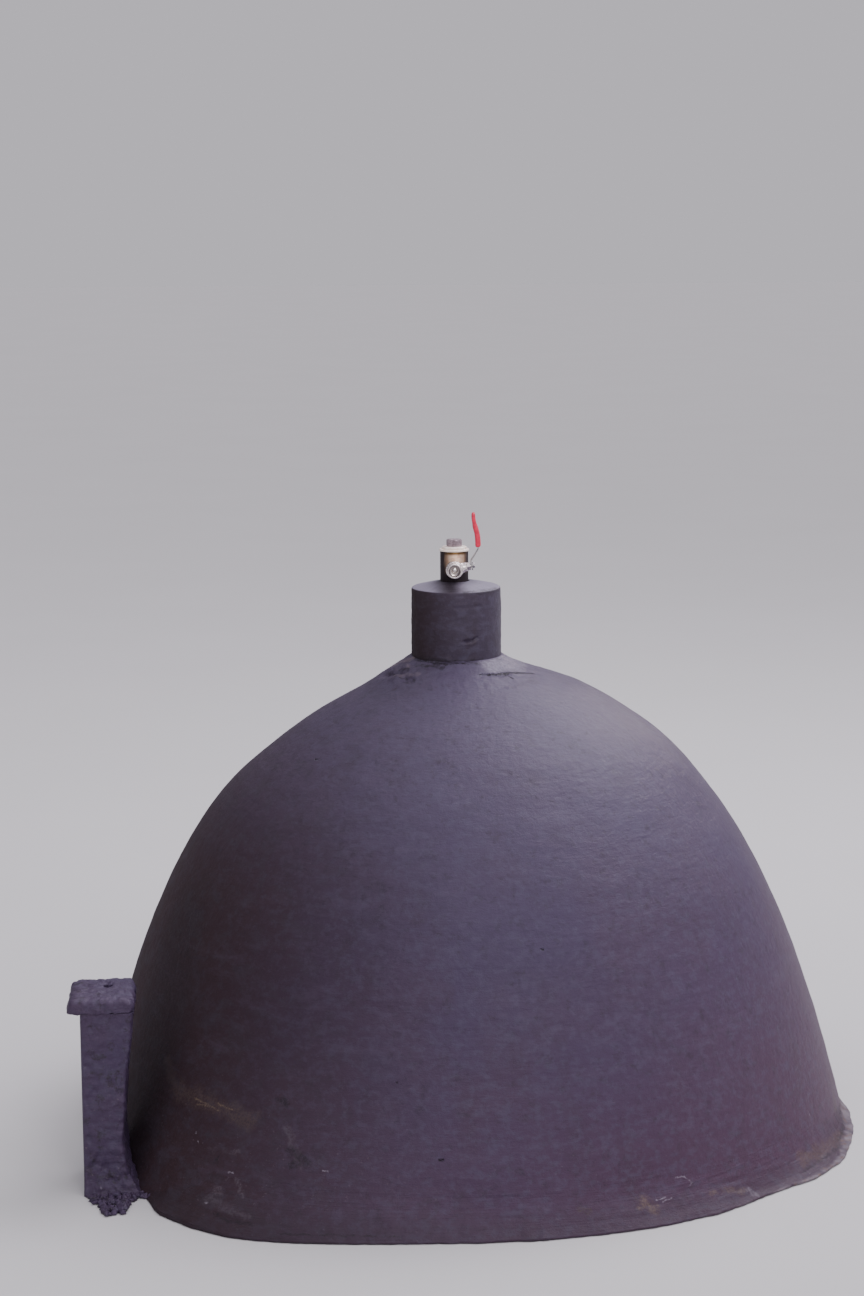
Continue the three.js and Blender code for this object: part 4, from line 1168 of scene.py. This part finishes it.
def clouded(finish, cloud, dark, light, rough, rougher, fine, depth, cloud_from=0.3):
    """Clouds the tone and the roughness of a finish, and gives it a fine bump."""
    finish.wear(
        Base_Color=finish.blend(cloud.between(cloud_from, 0.7), dark, light),
        Roughness=rough + cloud * rougher,
        Normal=finish.bump(fine, depth),
    )


# A pale cream brass, mostly diffuse, that is partly a painted reflection of a bright sky.
pale_brass = Finish("pale_brass", Metallic=0.12)
tarnish = pale_brass.grain(150.0, 4.0, 0.65)
turning = pale_brass.grain(900.0, 2.0, 0.5, pale_brass.stretched((0.15, 0.15, 1.0)))
brass_and_sheen_tones = (0.90, 0.76, 0.66), (1.0, 0.94, 0.87)
clouded(pale_brass, tarnish, *brass_and_sheen_tones, 0.26, 0.20, turning, 0.0001, 0.35)
for piece, node in ((turret_rim, "turret_rim"), (bush, "reducer_bush")):
    clad(piece, pale_brass)
    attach(piece, "digester")
    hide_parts(node)


# Plug. A galvanised hexagon plug, screwed into the bush on top of the turret to close it. Its
# shank is threaded, and its head is turned a little, as it was left by the spanner.

plug_head = [(0, 70.9), (13.6, 70.9), (14.4, 72.4), (14.4, 81.8)]
plug_head += [(13, 83.1), (6, 83.1), (5.2, 82.5), (0, 82.5)]
plug_at = on_screed @ Matrix.Rotation(0.3, 4, "Z")
plug = turned("turret_plug_steel", plug_at, plug_head, 0.5, 96, 6, 25)
plug_thread = [(10.0 if k % 2 else 9.2, 59.9 + 0.91 * k) for k in range(14)]
plug_shank = [(0, 59.9), *plug_thread, (9.2, 72.7), (0, 72.7)]
combined("UNION", plug, turned("shank", on_screed, plug_shank, 0, 48))
zinc_plug = Finish("zinc_plug", Metallic=1.0)
stain = zinc_plug.grain(210.0, 4.0, 0.6)
zinc_tones = (0.29, 0.22, 0.24), (0.52, 0.42, 0.46)
clouded(zinc_plug, stain, *zinc_tones, 0.36, 0.18, stain, 0.0003)
clad(plug, zinc_plug)
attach(plug, "digester")
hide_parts("turret_plug")


# Ball valve. A half-inch valve of nickel-plated brass, screwed on a nipple in the turret's side,
# with its mouth to the front and its stem turned a little above level. Both ends are eight-sided
# for the spanner, and the mouth is threaded inside.

VALVE_AHEAD, VALVE_ROLL, VALVE_ACROSS = 0.0535, math.radians(14), 26.5

valve_centre = (OUTLET_AXIS[0], OUTLET_AXIS[1] - VALVE_AHEAD, NECK_TOP + TAPPING_HEIGHT)
valve_at = Matrix.Translation(valve_centre) @ Matrix.Rotation(-VALVE_ROLL, 4, "Y")
along_flow = valve_at @ to_mouth
against_flow = valve_at @ Matrix.Rotation(-math.pi / 2, 4, "X")
along_stem = valve_at @ Matrix.Rotation(math.pi / 2, 4, "Y")
flat_up = Matrix.Rotation(math.pi / 8, 4, "Z")

nickel = Finish("nickel_plate", Metallic=1.0)
smudge = nickel.grain(260.0, 4.0, 0.6)
plate = nickel.blend(smudge.between(0.3, 0.75), (0.66, 0.58, 0.56), (0.92, 0.87, 0.86))
# The mouth's bore is darkened, a painted shade in the recess.
off_axis = nickel.vector("MULTIPLY", nickel.place, (1.0, 0.0, 1.0))
off_axis = nickel.vector("DISTANCE", off_axis, (valve_centre[0], 0.0, valve_centre[2]))
bored = 1.0 - off_axis.between(0.0100, 0.0108)
in_mouth = nickel.along((0.0, -1.0, 0.0)).between(0.0595, 0.0605) * bored
nickel.wear(
    Base_Color=nickel.blend(in_mouth * 0.72, plate, (0.10, 0.07, 0.075)),
    Roughness=0.18 + smudge * 0.20,
    Normal=nickel.bump(nickel.grain(700.0, 3.0, 0.6), 0.00012),
)

thread = [(9.3 if k % 2 else 10.1, 15 + 0.75 * k) for k in range(9)]
end_profile = [(7, 8.3), (14.1, 8.3), (14.6, 9.2), (14.6, 18.8), (13.6, 20), (13.2, 20.1)]
end_profile += [(13.2, 22.2), (12.6, 23), (11, 23), (10.4, 22.2), *thread[::-1], (7, 14.5)]
end_at = along_flow @ flat_up
valve_end = turned("valve_end_nickel", end_at, end_profile, 0.3, 96, 8, VALVE_ACROSS, 2)

end_blank = [(0, 6), (14.6, 6), (14.6, 18.8), (13.6, 20)]
end_blank += [(13.2, 20.1), (13.2, 22.4), (12.6, 23), (0, 23)]
blank_at = against_flow @ flat_up
valve_body = turned("valve_body_nickel", blank_at, end_blank, 0.4, 96, 8, VALVE_ACROSS)
barrel = [(0, -8), (15, -8), (15.5, -7.2), (15.5, 7.2), (15, 8), (0, 8)]
combined("UNION", valve_body, turned("barrel", along_flow, barrel, 0.6, 96))
boss = [(0, 8), (10, 13.5), (8.6, 16.5), (8.2, 18), (8.2, 22.2), (7.6, 23), (0, 23)]
combined("UNION", valve_body, turned("boss", along_stem, boss, 0.6, 64))
waterway = [(0, -8.5), (11.8, -8.5), (11.8, 9.2), (7, 11.2), (7, 14.5), (9.3, 14.6)]
waterway += [(9.3, 24), (0, 24)]
combined("DIFFERENCE", valve_body, turned("waterway", against_flow, waterway, 0, 64))
combined("DIFFERENCE", valve_body, rod("stem_hole", along_stem, 4.5, 0, 24, 40))

nipple_profile = [(6.5, -34), (9, -34), (9, -27), (10.8, -26.8)]
nipple_profile += [(10.8, -24.2), (9, -24), (9, -15), (6.5, -15)]
nipple_at = Matrix.Translation(valve_centre) @ to_mouth
nipple = turned("valve_nipple_nickel", nipple_at, nipple_profile, 0.3)

gland_profile = [(4.5, 23.3), (7, 23.3), (8, 24.1), (8, 28.4), (7, 29.3), (4.5, 29.3)]
gland = turned("gland_nut_nickel", along_stem, gland_profile, 0.3, 96, 6, 14)

for piece, node in (
    (valve_end, "valve_end"),
    (valve_body, "valve_body"),
    (nipple, "valve_nipple"),
    (gland, "gland_nut"),
):
    clad(piece, nickel)
    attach(piece, "digester")
    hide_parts(node)

seat = Finish("white_seat", Roughness=0.5)
seat.wear(Base_Color=seat.blend(seat.grain(600.0), (0.74, 0.72, 0.68), (0.84, 0.82, 0.78)))
for node in ("valve_seat_front", "valve_seat_back"):
    clad(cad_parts[node], seat)


# Handle. The ball, stem, lever, nut and red sleeve turn together. The lever is a steel strip bent
# out past the nut and up, and its upper part was dipped in vinyl. It is shown shut.

BALL_RADIUS, BALL_TOP, PORT_RADIUS = 11, 9.5, 6
PLATE_FROM, CRANK_FROM, CRANK_TO, LEVER_TIP = 31.7, 8, 27, 89
CRANKED_FROM, SPLAY = PLATE_FROM + 20, math.radians(5.5)
LEVER_HALF = 7

ball_turn = np.linspace(-math.pi / 2, math.asin(BALL_TOP / BALL_RADIUS), 30)[1:]
ball_arc = [(BALL_RADIUS * math.cos(a), BALL_RADIUS * math.sin(a)) for a in ball_turn]
ball_profile = [(0, -BALL_RADIUS), *ball_arc, (0, BALL_TOP)]
ball = turned("valve_ball_chrome", along_stem, ball_profile)
combined("DIFFERENCE", ball, rod("port", valve_at, PORT_RADIUS, -12, 12, 56))
clad(ball, nickel)
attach(ball, "valve_handle")
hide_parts("valve_ball")

stem_profile = [(0, 9.8), (4, 9.8), (4, 30.4), (3, 30.4)]
stem_profile += [(3 if k % 2 else 2.6, 33.5 + 0.3 * k) for k in range(11)] + [(2.5, 37), (0, 37)]
stem = turned("valve_stem_steel", along_stem, stem_profile, 0.1, 48, steps=1)

lever_line = [(PLATE_FROM, -9), (PLATE_FROM, CRANK_FROM), (CRANKED_FROM, CRANK_TO)]
lever_line += [(CRANKED_FROM + (LEVER_TIP - CRANK_TO) * math.tan(SPLAY), LEVER_TIP)]
bends = softened(lever_line, 4, 6)[7:21]
lever_steps = np.array([lever_line[0], *bends, lever_line[3]])
lever_length = lengths_along(lever_steps)[-1]
even = np.concatenate([np.linspace(0, LEVER_HALF, 9), np.linspace(8, lever_length, 60)])
strip = points_at(lever_steps, even)
slope = np.gradient(strip, axis=0)
slope /= np.linalg.norm(slope, axis=1)[:, None]
half_wide = LEVER_HALF**2 - np.clip(LEVER_HALF - even, 0, None) ** 2
half_wide = np.sqrt(np.clip(half_wide, 0.01, None))[:, None]
edge_round = [(-1, -0.6), (-0.94, -0.9), (-0.8, -1), (0, -1), (0.8, -1), (0.94, -0.9), (1, -0.6)]
edge_round = np.array(edge_round)
across, through = np.concatenate([edge_round, edge_round[::-1] * (1, -1)]).T
lever_rings = np.stack(
    [
        strip[:, :1] + slope[:, 1:] * through,
        half_wide * across,
        strip[:, 1:] - slope[:, :1] * through,
    ],
    axis=-1,
)
lever = lofted("valve_lever_steel", lever_rings / 1000, closed=False, keep_flat=40)
lever.data.transform(valve_at)
combined("DIFFERENCE", lever, rod("bolt_hole", along_stem, 3.3, 30.4, 38, 32))

nut_profile = [(3.3, 33), (5, 33), (5.75, 33.7), (5.75, 36.1), (5, 37), (4.2, 37.6), (3.3, 37.6)]
lever_nut = turned("lever_nut_steel", along_stem, nut_profile, 0.2, 72, 6, 10)

steel = Finish("zinc_steel", Metallic=1.0)
steel_cloud = steel.grain(180.0, 3.0, 0.6)
steel_lines = steel.grain(800.0, 2.0, 0.5, steel.stretched((1.0, 0.2, 0.2)))
steel_tones = (0.40, 0.38, 0.39), (0.58, 0.56, 0.56)
clouded(steel, steel_cloud, *steel_tones, 0.25, 0.20, steel_lines, 0.0001)
for piece, node in ((stem, "valve_stem"), (lever, "valve_lever"), (lever_nut, "lever_nut")):
    clad(piece, steel)
    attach(piece, "valve_handle")
    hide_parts(node)

sleeve_steps = [(29.6, 0.35), (30, 0.72), (30.8, 0.95), (32.2, 1.06), (34.5, 1.06), (37.5, 1.0)]
sleeve_steps += [(z, 1.0 + 0.015 * math.sin(z * 0.31)) for z in np.linspace(41, 86, 22)]
sleeve_steps += [(88.5, 0.97), (90.2, 0.88), (91.4, 0.70), (92, 0.42), (92.1, 0.15)]
sleeve_turn = np.linspace(0, 2 * math.pi, 56, endpoint=False)
across, through = (
    np.sign(side) * np.abs(side) ** 0.55 for side in (np.sin(sleeve_turn), np.cos(sleeve_turn))
)
sleeve_rings = []
for z, full in sleeve_steps:
    half_thick = np.interp(z, (30, 36, 66, 74, 92), (4.4, 5.0, 4.7, 3.7, 3.4))
    s = half_thick * full * through + 1.1 * math.sin((z - 36) * 0.112)
    w = 9 * (1 - (1 - min(full, 1)) * 0.45) * across
    sleeve_rings.append(np.stack([s, w, np.full(56, z - CRANK_TO)], axis=1))
sleeve = lofted("lever_sleeve_vinyl", np.array(sleeve_rings) / 1000, closed=False, keep_flat=60)
at_crank = Matrix.Translation((CRANKED_FROM / 1000, 0, CRANK_TO / 1000))
sleeve.data.transform(valve_at @ at_crank @ Matrix.Rotation(SPLAY, 4, "Y"))
vinyl = Finish("red_vinyl", Coat_Roughness=0.25)
vinyl_cloud = vinyl.grain(140.0, 3.0, 0.55)
vinyl_tones = (0.56, 0.008, 0.045), (0.74, 0.022, 0.075)
clouded(vinyl, vinyl_cloud, *vinyl_tones, 0.30, 0.18, vinyl.grain(420.0, 2.0), 0.0002)
clad(sleeve, vinyl)
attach(sleeve, "valve_handle")
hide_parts("lever_sleeve")
